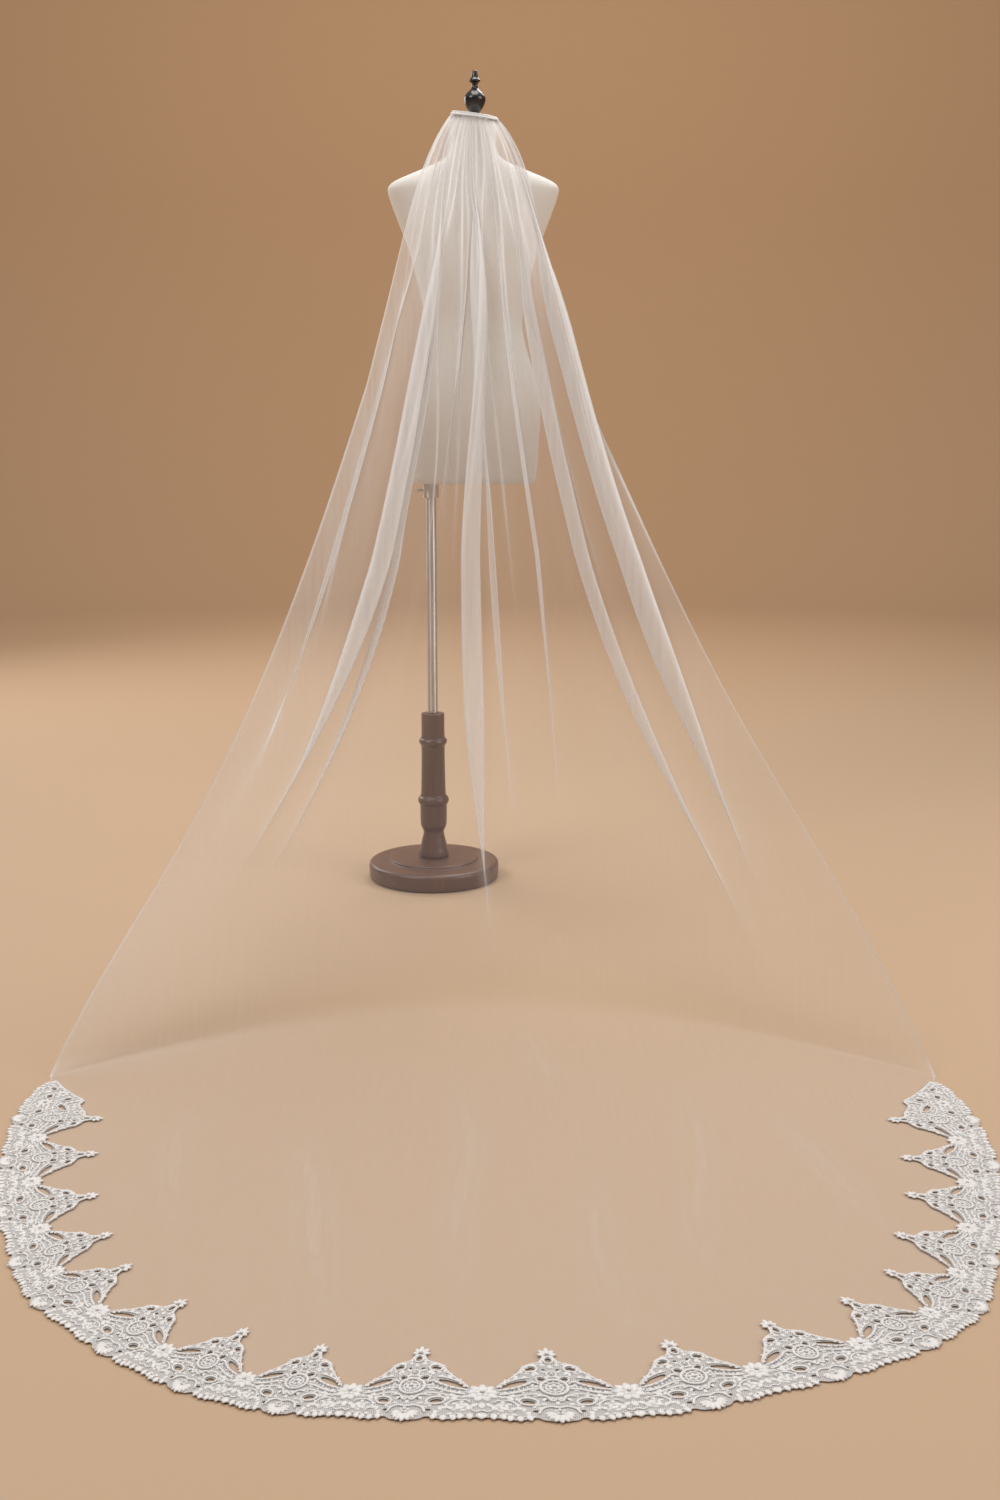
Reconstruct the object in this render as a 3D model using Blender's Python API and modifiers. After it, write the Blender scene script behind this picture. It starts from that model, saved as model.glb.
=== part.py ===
"""Cathedral bridal veil, hung by its comb from a limbless dress form on a turned stand.

The origin is the centre of the stand's round foot, on the floor. +Z is up, and the train
runs out along -Y. The veil is one cut of tulle, three metres long and one and a half
wide, with a rounded end that an edging of corded lace follows from corner to corner.
"""

import math

import bmesh
import bpy

# Stand, in metres. Each turned profile is a table of radius and height, from top to bottom.
COLUMN_TOP = 0.367
POLE_RADIUS = 0.011
COLLAR_RADIUS = 0.0165
COLLAR_HEIGHT = 0.030
SCREW_RADIUS = 0.003
SCREW_REACH = 0.027
SCREW_DROP = 0.016
WING_LENGTH = 0.016
WING_HEIGHT = 0.012
WING_THICKNESS = 0.004
GAP = 0.0003

# Dress form: the pole enters off its middle.
FORM_X = 0.0915
FORM_BOTTOM = 0.860
NECK_TOP = 1.590
NECK_RADIUS = 0.046
FINIAL_X = 0.095

# Comb and the gathered heading of the veil.
COMB_X = 0.095
COMB_HALF = 0.0435
COMB_BOW = 0.011
COMB_TILT = 0.006
COMB_TOP = 1.586
SPINE_HEIGHT = 0.008
TOOTH_LENGTH = 0.035
TOOTH_WIDTH = 0.0022
TOOTH_COUNT = 16
COMB_THICKNESS = 0.003
BINDING_HEIGHT = 0.008
BINDING_THICKNESS = 0.0015
BINDING_SLANT = 1.4
GATHER_CREST = 0.0026

# Tulle.
TULLE_WALL = 0.0012
HEAD_Z = 1.588
LANDING_X = 0.132
PUFF = 0.017
PUFF_REACH = 0.07
LANDING_Y = -0.810
SAG_LEFT = {"size": 2.79, "rise": 2.3, "fall": 1.8}
SAG_RIGHT = {"size": 2.90, "rise": 2.0, "fall": 2.4}
FILLET = 0.030
LANDING_RUN = 0.075
LANDING_LEFT_AT_CORNER = 0.008
TRAIN_LEFT_AT_CORNER = 0.020
CORNER_POWER = 1.7
GATHER_PAIRS = 10
RIPPLE_PAIRS = 4.5

# Hem of the train: an arc about a point of the floor. Its radius wanders a little, as the
# cloth was laid by hand: angles run from the middle of the front, in degrees.
HEM_X = 0.132
HEM_Y = -1.283
CORNER_ANGLE = 101.5
HEM_SECTIONS = [
    {"angle": -101.5, "radius": 0.688},
    {"angle": -76.0, "radius": 0.672},
    {"angle": -62.0, "radius": 0.682},
    {"angle": -45.0, "radius": 0.712},
    {"angle": -22.0, "radius": 0.732},
    {"angle": -2.0, "radius": 0.708},
    {"angle": 20.0, "radius": 0.726},
    {"angle": 45.0, "radius": 0.756},
    {"angle": 61.0, "radius": 0.716},
    {"angle": 76.0, "radius": 0.697},
    {"angle": 101.5, "radius": 0.694},
]

# Lace edging. A repeat is 125 mm long where it lies straight. The peaks point inwards at
# these angles, closer where the trim was eased round the curve.
LACE_WALL = 0.0018
PITCH = 125
PEAK_ANGLES = [
    -90.2, -78.4, -65.4, -54.2, -46.0, -35.1, -25.8, -17.0, -6.8,
    6.1, 18.8, 30.0, 39.9, 47.9, 56.2, 67.0, 77.6, 89.8,
]
PEAK_COUNT = len(PEAK_ANGLES)
END_TURN = 10.4

# Columns of the hanging tulle, and points along the train's landing edge.
FALL_COLUMNS = 80
LANDING_STEPS = 40

# Rows of the hanging tulle: how far each is from the comb (0) to the floor (1), and how
# deep the fine gathers and the broad ripples are there.
FALL_ROWS = [
    {"reach": 0.000, "gather": 0.0014, "ripple": 0.000},
    {"reach": 0.016, "gather": 0.0026, "ripple": 0.001},
    {"reach": 0.040, "gather": 0.0045, "ripple": 0.003},
    {"reach": 0.075, "gather": 0.0060, "ripple": 0.006},
    {"reach": 0.120, "gather": 0.0060, "ripple": 0.010},
    {"reach": 0.175, "gather": 0.0050, "ripple": 0.013},
    {"reach": 0.240, "gather": 0.0035, "ripple": 0.013},
    {"reach": 0.315, "gather": 0.0020, "ripple": 0.011},
    {"reach": 0.400, "gather": 0.0010, "ripple": 0.009},
    {"reach": 0.490, "gather": 0.0000, "ripple": 0.008},
    {"reach": 0.580, "gather": 0.0000, "ripple": 0.006},
    {"reach": 0.670, "gather": 0.0000, "ripple": 0.005},
    {"reach": 0.760, "gather": 0.0000, "ripple": 0.004},
    {"reach": 0.850, "gather": 0.0000, "ripple": 0.003},
    {"reach": 0.930, "gather": 0.0000, "ripple": 0.001},
    {"reach": 1.000, "gather": 0.0000, "ripple": 0.000},
]

# The deep folds. Each runs down from the comb: high, middle and low are its places across
# the veil (-1 left edge, 1 right edge) at reaches 0.2, 0.45 and 0.72. It is a soft ridge
# (depth above zero) or trough, leans sideways, and dies out at end. Sizes in metres.
FOLD_REACHES = (0.20, 0.45, 0.72)
FOLD_COLUMNS = ("high", "middle", "low", "width", "depth", "lean", "end")
FOLD_ROWS = [
    (-0.560, -0.600, -0.735, 0.034, 0.030, 0.010, 0.92),
    (-0.330, -0.440, -0.600, 0.028, -0.024, -0.006, 0.84),
    (-0.020, -0.055, -0.045, 0.034, 0.034, -0.012, 0.96),
    (0.300, 0.330, 0.250, 0.030, -0.020, 0.006, 0.80),
    (0.570, 0.575, 0.640, 0.032, 0.026, -0.008, 0.94),
    (0.860, 0.820, 0.790, 0.036, 0.032, -0.012, 0.92),
]
DEEP_FOLDS = [dict(zip(FOLD_COLUMNS, row)) for row in FOLD_ROWS]
FOLD_START = 0.03

# One repeat of the lace, in millimetres: along the hem from its middle, and in from the
# hem. Each list is one half, from the middle outwards, and is mirrored. The gaps have a
# middle, a half length and half width, and a turn from the hem's line in degrees.
REPEAT = {
    "peak": [(0, 128), (8, 119), (6, 107), (20, 98), (29, 86), (46, 67)],
    "hem": [(0, -6), (12, -4), (19, 1), (32, -4), (48, -1)],
    "gaps": [
        {"along": 38, "inward": 58, "length": 14, "width": 3.2, "turn": -28, "sides": 6},
        {"along": 18, "inward": 87, "length": 4.2, "width": 3.0, "turn": -20, "sides": 4},
        {"along": 11, "inward": 65, "length": 5.0, "width": 3.0, "turn": 55, "sides": 4},
        {"along": 26, "inward": 29, "length": 5.5, "width": 3.2, "turn": 20, "sides": 4},
        {"along": 0, "inward": 105, "length": 2.8, "width": 4.6, "turn": 0, "sides": 4},
    ],
}
# The outer half of each end repeat runs on into a pointed corner piece.
CORNER = {
    "peak": [
        (0, 128), (8, 119), (8, 107), (26, 99), (52, 84), (72, 88), (90, 68), (116, 40), (144, 16),
    ],
    "hem": [
        (0, -6), (12, -4), (19, 1), (32, -4), (48, -1), (62, -4), (80, 0), (98, -3), (118, 0), (138, 8),
    ],
    "gaps": [
        {"along": 42, "inward": 58, "length": 12, "width": 3.2, "turn": -30, "sides": 6},
        {"along": 26, "inward": 29, "length": 5.5, "width": 3.2, "turn": 20, "sides": 4},
        {"along": 72, "inward": 60, "length": 6.0, "width": 3.2, "turn": 50, "sides": 4},
        {"along": 80, "inward": 30, "length": 7.0, "width": 3.2, "turn": -10, "sides": 4},
        {"along": 108, "inward": 26, "length": 5.0, "width": 3.2, "turn": -50, "sides": 4},
    ],
}
VALLEY_DEPTH = 52
HEM_VALLEY = 1
STRETCHES = [("lace_left", 0, 5), ("lace_front", 5, 13), ("lace_right", 13, 18)]

# Sections of the dress form, from the neck down: height, half width, and depth to the
# chest side and to the back.
FORM_SECTIONS = [
    {"z": 1.590, "half": 0.040, "chest": 0.040, "back": 0.040},
    {"z": 1.584, "half": 0.0455, "chest": 0.0455, "back": 0.0455},
    {"z": 1.545, "half": 0.0450, "chest": 0.0450, "back": 0.0450},
    {"z": 1.521, "half": 0.0510, "chest": 0.0470, "back": 0.0480},
    {"z": 1.505, "half": 0.0660, "chest": 0.0520, "back": 0.0540},
    {"z": 1.491, "half": 0.0980, "chest": 0.0570, "back": 0.0600},
    {"z": 1.478, "half": 0.1310, "chest": 0.0610, "back": 0.0650},
    {"z": 1.466, "half": 0.1590, "chest": 0.0650, "back": 0.0690},
    {"z": 1.456, "half": 0.1720, "chest": 0.0690, "back": 0.0720},
    {"z": 1.443, "half": 0.1740, "chest": 0.0740, "back": 0.0750},
    {"z": 1.415, "half": 0.1650, "chest": 0.0840, "back": 0.0800},
    {"z": 1.376, "half": 0.1500, "chest": 0.0980, "back": 0.0860},
    {"z": 1.330, "half": 0.1320, "chest": 0.1120, "back": 0.0860},
    {"z": 1.280, "half": 0.1190, "chest": 0.1080, "back": 0.0810},
    {"z": 1.235, "half": 0.1080, "chest": 0.0880, "back": 0.0740},
    {"z": 1.190, "half": 0.1000, "chest": 0.0780, "back": 0.0700},
    {"z": 1.140, "half": 0.1080, "chest": 0.0810, "back": 0.0780},
    {"z": 1.080, "half": 0.1270, "chest": 0.0880, "back": 0.0930},
    {"z": 1.012, "half": 0.1390, "chest": 0.0930, "back": 0.1050},
    {"z": 0.940, "half": 0.1360, "chest": 0.0930, "back": 0.1060},
    {"z": 0.866, "half": 0.1300, "chest": 0.0890, "back": 0.0990},
    {"z": 0.860, "half": 0.1270, "chest": 0.0860, "back": 0.0960},
]
FORM_SIDES = 26
FORM_SQUARENESS = 2.25

COLUMN_PROFILE = [
    (0.0000, 0.367), (0.0240, 0.367), (0.0250, 0.365), (0.0250, 0.313), (0.0285, 0.311),
    (0.0310, 0.305), (0.0285, 0.299), (0.0248, 0.295), (0.0265, 0.200), (0.0275, 0.184),
    (0.0325, 0.180), (0.0340, 0.173), (0.0320, 0.167), (0.0290, 0.164), (0.0290, 0.122),
    (0.0265, 0.113), (0.0222, 0.105), (0.0226, 0.097), (0.0275, 0.077), (0.0300, 0.066),
    (0.0325, 0.058), (0.0330, 0.0523), (0.0320, 0.0463), (0.0000, 0.0463),
]
FOOT_PROFILE = [
    (0.0000, 0.0460), (0.0930, 0.0460), (0.0960, 0.0445), (0.0965, 0.0410), (0.1000, 0.0400),
    (0.1340, 0.0390), (0.1405, 0.0360), (0.1430, 0.0290), (0.1420, 0.0080), (0.1390, 0.0000),
    (0.0000, 0.0000),
]
FINIAL_PROFILE = [
    (0.0000, 0.0900), (0.0028, 0.0892), (0.0046, 0.0865), (0.0055, 0.0810), (0.0075, 0.0745),
    (0.0103, 0.0710), (0.0095, 0.0690), (0.0062, 0.0660), (0.0060, 0.0620), (0.0085, 0.0570),
    (0.0165, 0.0490), (0.0200, 0.0440), (0.0205, 0.0410), (0.0190, 0.0330), (0.0140, 0.0210),
    (0.0095, 0.0130), (0.0083, 0.0090), (0.0110, 0.0050), (0.0125, 0.0015), (0.0120, 0.0003),
    (0.0000, 0.0003),
]


def clear_scene():
    """Removes the startup objects, and leaves a collection for the parts and one for cutters."""
    for thing in list(bpy.data.objects):
        bpy.data.objects.remove(thing, do_unlink=True)
    parts = bpy.data.collections.new("bridal_veil_on_form")
    cutters = bpy.data.collections.new("cutters")
    bpy.context.scene.collection.children.link(parts)
    bpy.context.scene.collection.children.link(cutters)
    return parts, cutters


def finish_of(name, colour, roughness, metallic=0.0, alpha=1.0):
    """A plain material with the part's colour and gloss."""
    material = bpy.data.materials.new(name)
    material.use_nodes = True
    shader = material.node_tree.nodes["Principled BSDF"]
    shader.inputs["Base Color"].default_value = (*colour, 1.0)
    shader.inputs["Roughness"].default_value = roughness
    shader.inputs["Metallic"].default_value = metallic
    shader.inputs["Alpha"].default_value = alpha
    return material


def place(name, data, collection, material):
    """A new object with this mesh or curve, in the collection."""
    thing = bpy.data.objects.new(name, data)
    collection.objects.link(thing)
    data.materials.append(material)
    return thing


def cutter(thing, cutters):
    """Marks an object as a helper that a Boolean reads."""
    for holder in list(thing.users_collection):
        holder.objects.unlink(thing)
    cutters.objects.link(thing)
    thing.hide_render = True
    thing.display_type = "WIRE"
    return thing


def boolean(thing, other, operation):
    """Adds a Boolean modifier with the default exact solver."""
    modifier = thing.modifiers.new(operation.lower(), "BOOLEAN")
    modifier.operation = operation
    modifier.object = other


def turned(name, profile, base_z, x, steps, collection, material):
    """A turned piece: a profile of radius and height, top to bottom, swept round its axis."""
    mesh = bpy.data.meshes.new(name)
    points = [(radius, 0, z) for radius, z in profile]
    mesh.from_pydata(points, [(i, i + 1) for i in range(len(points) - 1)], [])
    thing = place(name, mesh, collection, material)
    thing.location = (x, 0, base_z)
    screw = thing.modifiers.new("turn", "SCREW")
    screw.steps = screw.render_steps = steps
    screw.use_merge_vertices = True
    screw.merge_threshold = 0.00001
    return thing


def cylinder(name, radius, length, centre, collection, material, sides=24, along_x=False):
    """A closed cylinder about a centre, upright or along X."""
    mesh = bpy.data.meshes.new(name)
    bm = bmesh.new()
    bmesh.ops.create_cone(
        bm, cap_ends=True, segments=sides, radius1=radius, radius2=radius, depth=length
    )
    bm.to_mesh(mesh)
    bm.free()
    thing = place(name, mesh, collection, material)
    thing.location = centre
    if along_x:
        thing.rotation_euler = (0, math.pi / 2, 0)
    return thing


def build_stand(parts, cutters, wood, steel):
    """Foot, turned column, pole, clamp collar and its wing screw."""
    turned("foot", FOOT_PROFILE, 0, 0, 32, parts, wood)
    turned("column", COLUMN_PROFILE, 0, 0, 20, parts, wood)
    pole_bottom = COLUMN_TOP + GAP
    pole_top = FORM_BOTTOM - 2 * GAP
    middle = (pole_bottom + pole_top) / 2
    cylinder("pole", POLE_RADIUS, pole_top - pole_bottom, (0, 0, middle), parts, steel)

    collar_middle = FORM_BOTTOM - GAP - COLLAR_HEIGHT / 2
    collar = cylinder("collar", COLLAR_RADIUS, COLLAR_HEIGHT, (0, 0, collar_middle), parts, steel)
    bore = cylinder("collar_bore", POLE_RADIUS + GAP, 0.1, (0, 0, collar_middle), cutters, steel)
    boolean(collar, cutter(bore, cutters), "DIFFERENCE")
    screw_z = FORM_BOTTOM - SCREW_DROP
    hole_centre = (-COLLAR_RADIUS, 0, screw_z)
    hole = cylinder(
        "screw_hole", SCREW_RADIUS + GAP, 0.02, hole_centre, cutters, steel, 16, along_x=True
    )
    boolean(collar, cutter(hole, cutters), "DIFFERENCE")

    inner_end = -POLE_RADIUS - GAP
    outer_end = -SCREW_REACH
    length = inner_end - outer_end
    shaft_centre = ((inner_end + outer_end) / 2, 0, screw_z)
    screw = cylinder("clamp_screw", SCREW_RADIUS, length, shaft_centre, parts, steel, 16, True)
    wing = bpy.data.meshes.new("wing")
    bm = bmesh.new()
    bmesh.ops.create_cube(bm, size=1)
    bmesh.ops.scale(bm, vec=(WING_HEIGHT, WING_LENGTH, WING_THICKNESS), verts=bm.verts)
    bmesh.ops.bevel(
        bm, geom=bm.edges, offset=0.0015, segments=1, affect="EDGES", profile=0.5
    )
    bm.to_mesh(wing)
    bm.free()
    paddle = place("wing", wing, cutters, steel)
    paddle.location = (outer_end - WING_HEIGHT / 2 + 0.004, 0, screw_z)
    boolean(screw, cutter(paddle, cutters), "UNION")


def wall(name, points, faces, thickness, collection, material):
    """A wall made from an open surface, thickened both ways about it."""
    mesh = bpy.data.meshes.new(name)
    mesh.from_pydata(points, [], faces)
    mesh.shade_smooth()
    thing = place(name, mesh, collection, material)
    modifier = thing.modifiers.new("wall", "SOLIDIFY")
    modifier.thickness = thickness
    modifier.offset = 0


def wall_through(name, rows, thickness, collection, material):
    """A wall through rows of points."""
    columns = len(rows[0])
    faces = []
    for i in range(len(rows) - 1):
        for j in range(columns - 1):
            a = i * columns + j
            faces.append((a, a + columns, a + columns + 1, a + 1))
    wall(name, [point for row in rows for point in row], faces, thickness, collection, material)


def ring_of(section, sides):
    """One closed section of the form, a rounded oval with its own chest and back depth."""
    points = []
    for i in range(sides):
        angle = 2 * math.pi * i / sides
        c, s = math.cos(angle), math.sin(angle)
        power = 2 / FORM_SQUARENESS
        x = section["half"] * math.copysign(abs(c) ** power, c)
        depth = section["chest"] if s > 0 else section["back"]
        y = depth * math.copysign(abs(s) ** power, s)
        points.append((FORM_X + x, y, section["z"]))
    return points


def build_form(parts, jersey, black):
    """The limbless body, a loft through its sections, and the finial on its neck."""
    rings = [ring_of(section, FORM_SIDES) for section in FORM_SECTIONS]
    points = [point for ring in rings for point in ring]
    faces = [tuple(range(FORM_SIDES))]
    for row in range(len(rings) - 1):
        for i in range(FORM_SIDES):
            j = (i + 1) % FORM_SIDES
            upper, lower = row * FORM_SIDES, (row + 1) * FORM_SIDES
            faces.append((upper + j, upper + i, lower + i, lower + j))
    last = (len(rings) - 1) * FORM_SIDES
    faces.append(tuple(last + i for i in reversed(range(FORM_SIDES))))
    mesh = bpy.data.meshes.new("form_body")
    mesh.from_pydata(points, [], faces)
    mesh.shade_smooth()
    place("form_body", mesh, parts, jersey)
    turned("finial", FINIAL_PROFILE, NECK_TOP, FINIAL_X, 16, parts, black)


def comb_bow(dx):
    """How far the comb's line stands forward of its middle, dx across from it."""
    return COMB_BOW * (dx / COMB_HALF) ** 2


def comb_tilt(dx):
    """How far the comb's line drops towards its right end."""
    return -COMB_TILT * dx / COMB_HALF


def comb_sheet():
    """Points and faces of the comb's middle surface: a spine with a row of teeth below."""
    spine_bottom = COMB_TOP - SPINE_HEIGHT
    tip = spine_bottom - TOOTH_LENGTH
    middle_y = -NECK_RADIUS - COMB_THICKNESS / 2
    pitch = (2 * COMB_HALF - TOOTH_WIDTH) / (TOOTH_COUNT - 1)
    points, faces = [], []
    for i in range(TOOTH_COUNT):
        left = -COMB_HALF + i * pitch
        for side in (0, 1):
            dx = left + side * TOOTH_WIDTH
            drawn_in = (0.5 - side) * 0.4 * TOOTH_WIDTH
            for x, z in ((dx, COMB_TOP), (dx, spine_bottom), (dx + drawn_in, tip)):
                points.append((COMB_X + x, middle_y + comb_bow(dx), z + comb_tilt(dx)))
    for column in range(2 * TOOTH_COUNT - 1):
        a, b = 3 * column, 3 * column + 3
        faces.append((a, a + 1, b + 1, b))
        if column % 2 == 0:
            faces.append((a + 1, a + 2, b + 2, b + 1))
    return points, faces


def mix(a, b, share):
    return a + (b - a) * share


def smooth_step(share):
    share = min(1.0, max(0.0, share))
    return share * share * (3 - 2 * share)


def head_y():
    """The middle of the tulle's gathered edge, just outside the comb."""
    clear = NECK_RADIUS + COMB_THICKNESS + GAP + TULLE_WALL / 2
    return -clear - FALL_ROWS[0]["gather"] - 0.0004


def head_point(across):
    dx = COMB_HALF * across
    return (COMB_X + dx, head_y() + comb_bow(dx), HEAD_Z + comb_tilt(dx))


def between(sections, key, value, wanted):
    """The wanted column of a table, eased between the two rows about this value."""
    for row, following in zip(sections, sections[1:]):
        if value <= following[key]:
            break
    share = (value - row[key]) / (following[key] - row[key])
    return mix(row[wanted], following[wanted], smooth_step(share))


def floor_point(angle, inward):
    """A point of the train, from its angle in degrees and its depth inside the hem."""
    radius = between(HEM_SECTIONS, "angle", angle, "radius") - inward
    turn = math.radians(angle)
    return (HEM_X + radius * math.sin(turn), HEM_Y - radius * math.cos(turn))


def hem_point(across):
    """A point of the hem, from the left corner (-1) to the right one (1)."""
    return floor_point(CORNER_ANGLE * across, 0.0)


def landing_point(across):
    """Where the tulle meets the floor, nearest the stand in the middle."""
    corner_x, corner_y = hem_point(math.copysign(1.0, across))
    x = mix(LANDING_X, corner_x, abs(across))
    run = corner_y + TRAIN_LEFT_AT_CORNER - LANDING_Y
    return (x, LANDING_Y + run * abs(across) ** CORNER_POWER)


def sag_at(across, reach):
    """How far the sheet hangs below a straight line from the comb to the floor."""
    sides = []
    for sag in (SAG_LEFT, SAG_RIGHT):
        sides.append(sag["size"] * reach ** sag["rise"] * (1 - reach) ** sag["fall"])
    return mix(sides[0], sides[1], (across + 1) / 2)


def hang_point(across, reach):
    """The unfolded sheet: nearly straight from the comb to the floor, with a little sag."""
    hx, hy, hz = head_point(across)
    lx, ly = landing_point(across)
    line = hz * (1 - reach) - sag_at(across, min(1.0, reach))
    fillet = FILLET * (1 - min(1.0, across * across)) + 0.002
    z = (line + math.sqrt(line * line + fillet * fillet * reach)) / 2
    u = reach / PUFF_REACH
    x = mix(hx, lx, reach) + across * PUFF * u * math.exp(1 - u)
    return (x, mix(hy, ly, reach), z + TULLE_WALL / 2)


def landing_strip(across, share):
    """The last stretch, where the sheet eases on to the floor beyond the landing line."""
    lx, ly = landing_point(across)
    hx, hy = hem_point(across)
    length = math.hypot(hx - lx, hy - ly)
    run = mix(LANDING_LEFT_AT_CORNER, LANDING_RUN, 1 - across * across)
    part = share * run / length
    start = hang_point(across, 1.0)[2] - TULLE_WALL / 2
    z = start * (1 - share) ** 2
    return (mix(lx, hx, part), mix(ly, hy, part), z + TULLE_WALL / 2)


def fold_place(fold, reach):
    """Where a fold lies across the veil at this reach."""
    high, middle, low = FOLD_REACHES
    if reach <= middle:
        share = smooth_step((reach - high) / (middle - high))
        return mix(fold["high"], fold["middle"], share)
    return mix(fold["middle"], fold["low"], (reach - middle) / (low - middle))


def fold_moves(across, reach, half_width):
    """How far the deep folds carry a point along the sheet, and out of it, in metres."""
    along, out = 0.0, 0.0
    for fold in DEEP_FOLDS:
        width = min(fold["width"], 0.22 * half_width)
        t = (across - fold_place(fold, reach)) * half_width / width
        if abs(t) >= 1:
            continue
        strength = smooth_step((reach - FOLD_START) / 0.2) * width / fold["width"]
        strength *= 1 - smooth_step((reach - fold["end"] + 0.35) / 0.35)
        bell = strength * (1 + math.cos(math.pi * t)) / 2
        along += fold["lean"] * bell
        out += fold["depth"] * bell
    return along, out


def wave_out(across, gather, ripple):
    """Fine gathers from the comb and broad ripples between the folds."""
    fine = math.cos(2 * math.pi * GATHER_PAIRS * across)
    uneven = 1 + 0.3 * math.sin(7.3 * across + 1.1)
    broad = math.cos(2 * math.pi * (RIPPLE_PAIRS * across + 0.2 * math.sin(5 * across + 0.7)))
    return gather * uneven * fine + ripple * broad


def subtract(a, b):
    return tuple(x - y for x, y in zip(a, b))


def unit(v):
    length = math.sqrt(sum(x * x for x in v))
    return tuple(x / length for x in v)


def cross(a, b):
    return (
        a[1] * b[2] - a[2] * b[1],
        a[2] * b[0] - a[0] * b[2],
        a[0] * b[1] - a[1] * b[0],
    )


def hang_frame(across, reach):
    """A point of the unfolded sheet, its direction across, and the one out of its front."""
    step = 0.002
    base = hang_point(across, reach)
    beside = subtract(hang_point(across + step, reach), hang_point(across - step, reach))
    low_reach, high_reach = max(0.0, reach - step), min(1.0, reach + step)
    below = subtract(hang_point(across, high_reach), hang_point(across, low_reach))
    return base, unit(beside), unit(cross(below, beside))


def moved(base, tangent, outward, along, out):
    return tuple(b + along * t + out * n for b, t, n in zip(base, tangent, outward))


def folded_point(across, row):
    """A point of the hanging tulle with its gathers, ripples and deep folds."""
    reach = row["reach"]
    half_width = (hang_point(1, reach)[0] - hang_point(-1, reach)[0]) / 2
    along, out = fold_moves(across, reach, half_width)
    out += wave_out(across, row["gather"], row["ripple"])
    return moved(*hang_frame(across, reach), along, out)


def lace_place(along, inward):
    """A point of the lace laid round the hem, from millimetres along its strip and inward."""
    place = along / PITCH
    index = min(max(math.floor(place), 0), PEAK_COUNT - 2)
    if place < 0:
        angle = PEAK_ANGLES[0] + place * END_TURN
    elif place > PEAK_COUNT - 1:
        angle = PEAK_ANGLES[-1] + (place - PEAK_COUNT + 1) * END_TURN
    else:
        angle = mix(PEAK_ANGLES[index], PEAK_ANGLES[index + 1], place - index)
    return floor_point(angle, inward / 1000)


def gap_loop(gap, middle, side):
    """One gap of the lace, as a loop of points round its middle."""
    turn = math.radians(gap["turn"]) * side
    loop = []
    for i in range(gap["sides"]):
        angle = 2 * math.pi * i / gap["sides"]
        u, v = gap["length"] * math.cos(angle), gap["width"] * math.sin(angle)
        along = middle + side * gap["along"] + u * math.cos(turn) - v * math.sin(turn)
        inward = gap["inward"] + u * math.sin(turn) + v * math.cos(turn)
        loop.append((along, inward))
    return loop


def lace_stretch(first, last):
    """Inner edge, hem edge and gaps of the strip over the repeats from first to last."""
    lines = {"peak": [], "hem": []}
    valleys = {"peak": VALLEY_DEPTH, "hem": HEM_VALLEY}
    gaps = []
    for i in range(first, last):
        middle = i * PITCH
        left = CORNER if i == 0 else REPEAT
        right = CORNER if i == PEAK_COUNT - 1 else REPEAT
        seam = GAP * 1000 / 2 if i == first else 0
        for name, line in lines.items():
            if i == first and left is REPEAT:
                line.append((middle - PITCH / 2 + seam, valleys[name]))
            line += [(middle - x, y) for x, y in reversed(left[name])]
            line += [(middle + x, y) for x, y in right[name][1:]]
            seam = GAP * 1000 / 2 if i == last - 1 else 0
            if right is REPEAT:
                line.append((middle + PITCH / 2 - seam, valleys[name]))
            seam = GAP * 1000 / 2 if i == first else 0
        gaps += [gap_loop(gap, middle, -1) for gap in left["gaps"]]
        gaps += [gap_loop(gap, middle, 1) for gap in right["gaps"] if gap["along"]]
    return lines["peak"], lines["hem"], gaps


def flat_wall(name, loops, thickness, underside, collection, material):
    """A flat piece with this outline, less the loops inside it, standing on a level."""
    curve = bpy.data.curves.new(name, "CURVE")
    curve.dimensions = "2D"
    curve.fill_mode = "BOTH"
    curve.extrude = thickness / 2
    for loop in loops:
        spline = curve.splines.new("POLY")
        spline.points.add(len(loop) - 1)
        for point, (x, y) in zip(spline.points, loop):
            point.co = (x, y, 0, 1)
        spline.use_cyclic_u = True
    thing = place(name, curve, collection, material)
    thing.location = (0, 0, underside + thickness / 2)


def build_lace(parts, lace):
    """The lace edging, a flat wall with its gaps cut through, laid on the tulle's rim."""
    for name, first, last in STRETCHES:
        peaks, hem, gaps = lace_stretch(first, last)
        loops = [peaks + hem[::-1]] + gaps
        laid = [[lace_place(*point) for point in loop] for loop in loops]
        flat_wall(name, laid, LACE_WALL, TULLE_WALL + GAP, parts, lace)


def build_tulle(parts, tulle):
    """The hanging stretch from the comb to the floor, and the train that lies on it."""
    across = [2 * i / FALL_COLUMNS - 1 for i in range(FALL_COLUMNS + 1)]
    rows = [[folded_point(a, row) for a in across] for row in FALL_ROWS]
    rows += [[landing_strip(a, share) for a in across] for share in (0.5, 1.0)]
    wall_through("tulle_fall", rows, TULLE_WALL, parts, tulle)

    edge = []
    for i in range(LANDING_STEPS + 1):
        a = 1 - 2 * i / LANDING_STEPS
        start, end = landing_strip(a, 1.0), hem_point(a)
        share = GAP / math.hypot(end[0] - start[0], end[1] - start[1])
        edge.append((mix(start[0], end[0], share), mix(start[1], end[1], share)))
    hem = lace_stretch(0, PEAK_COUNT)[1]
    outline = edge + [lace_place(*point) for point in hem]
    flat_wall("tulle_train", [outline], TULLE_WALL, 0.0, parts, tulle)


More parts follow.
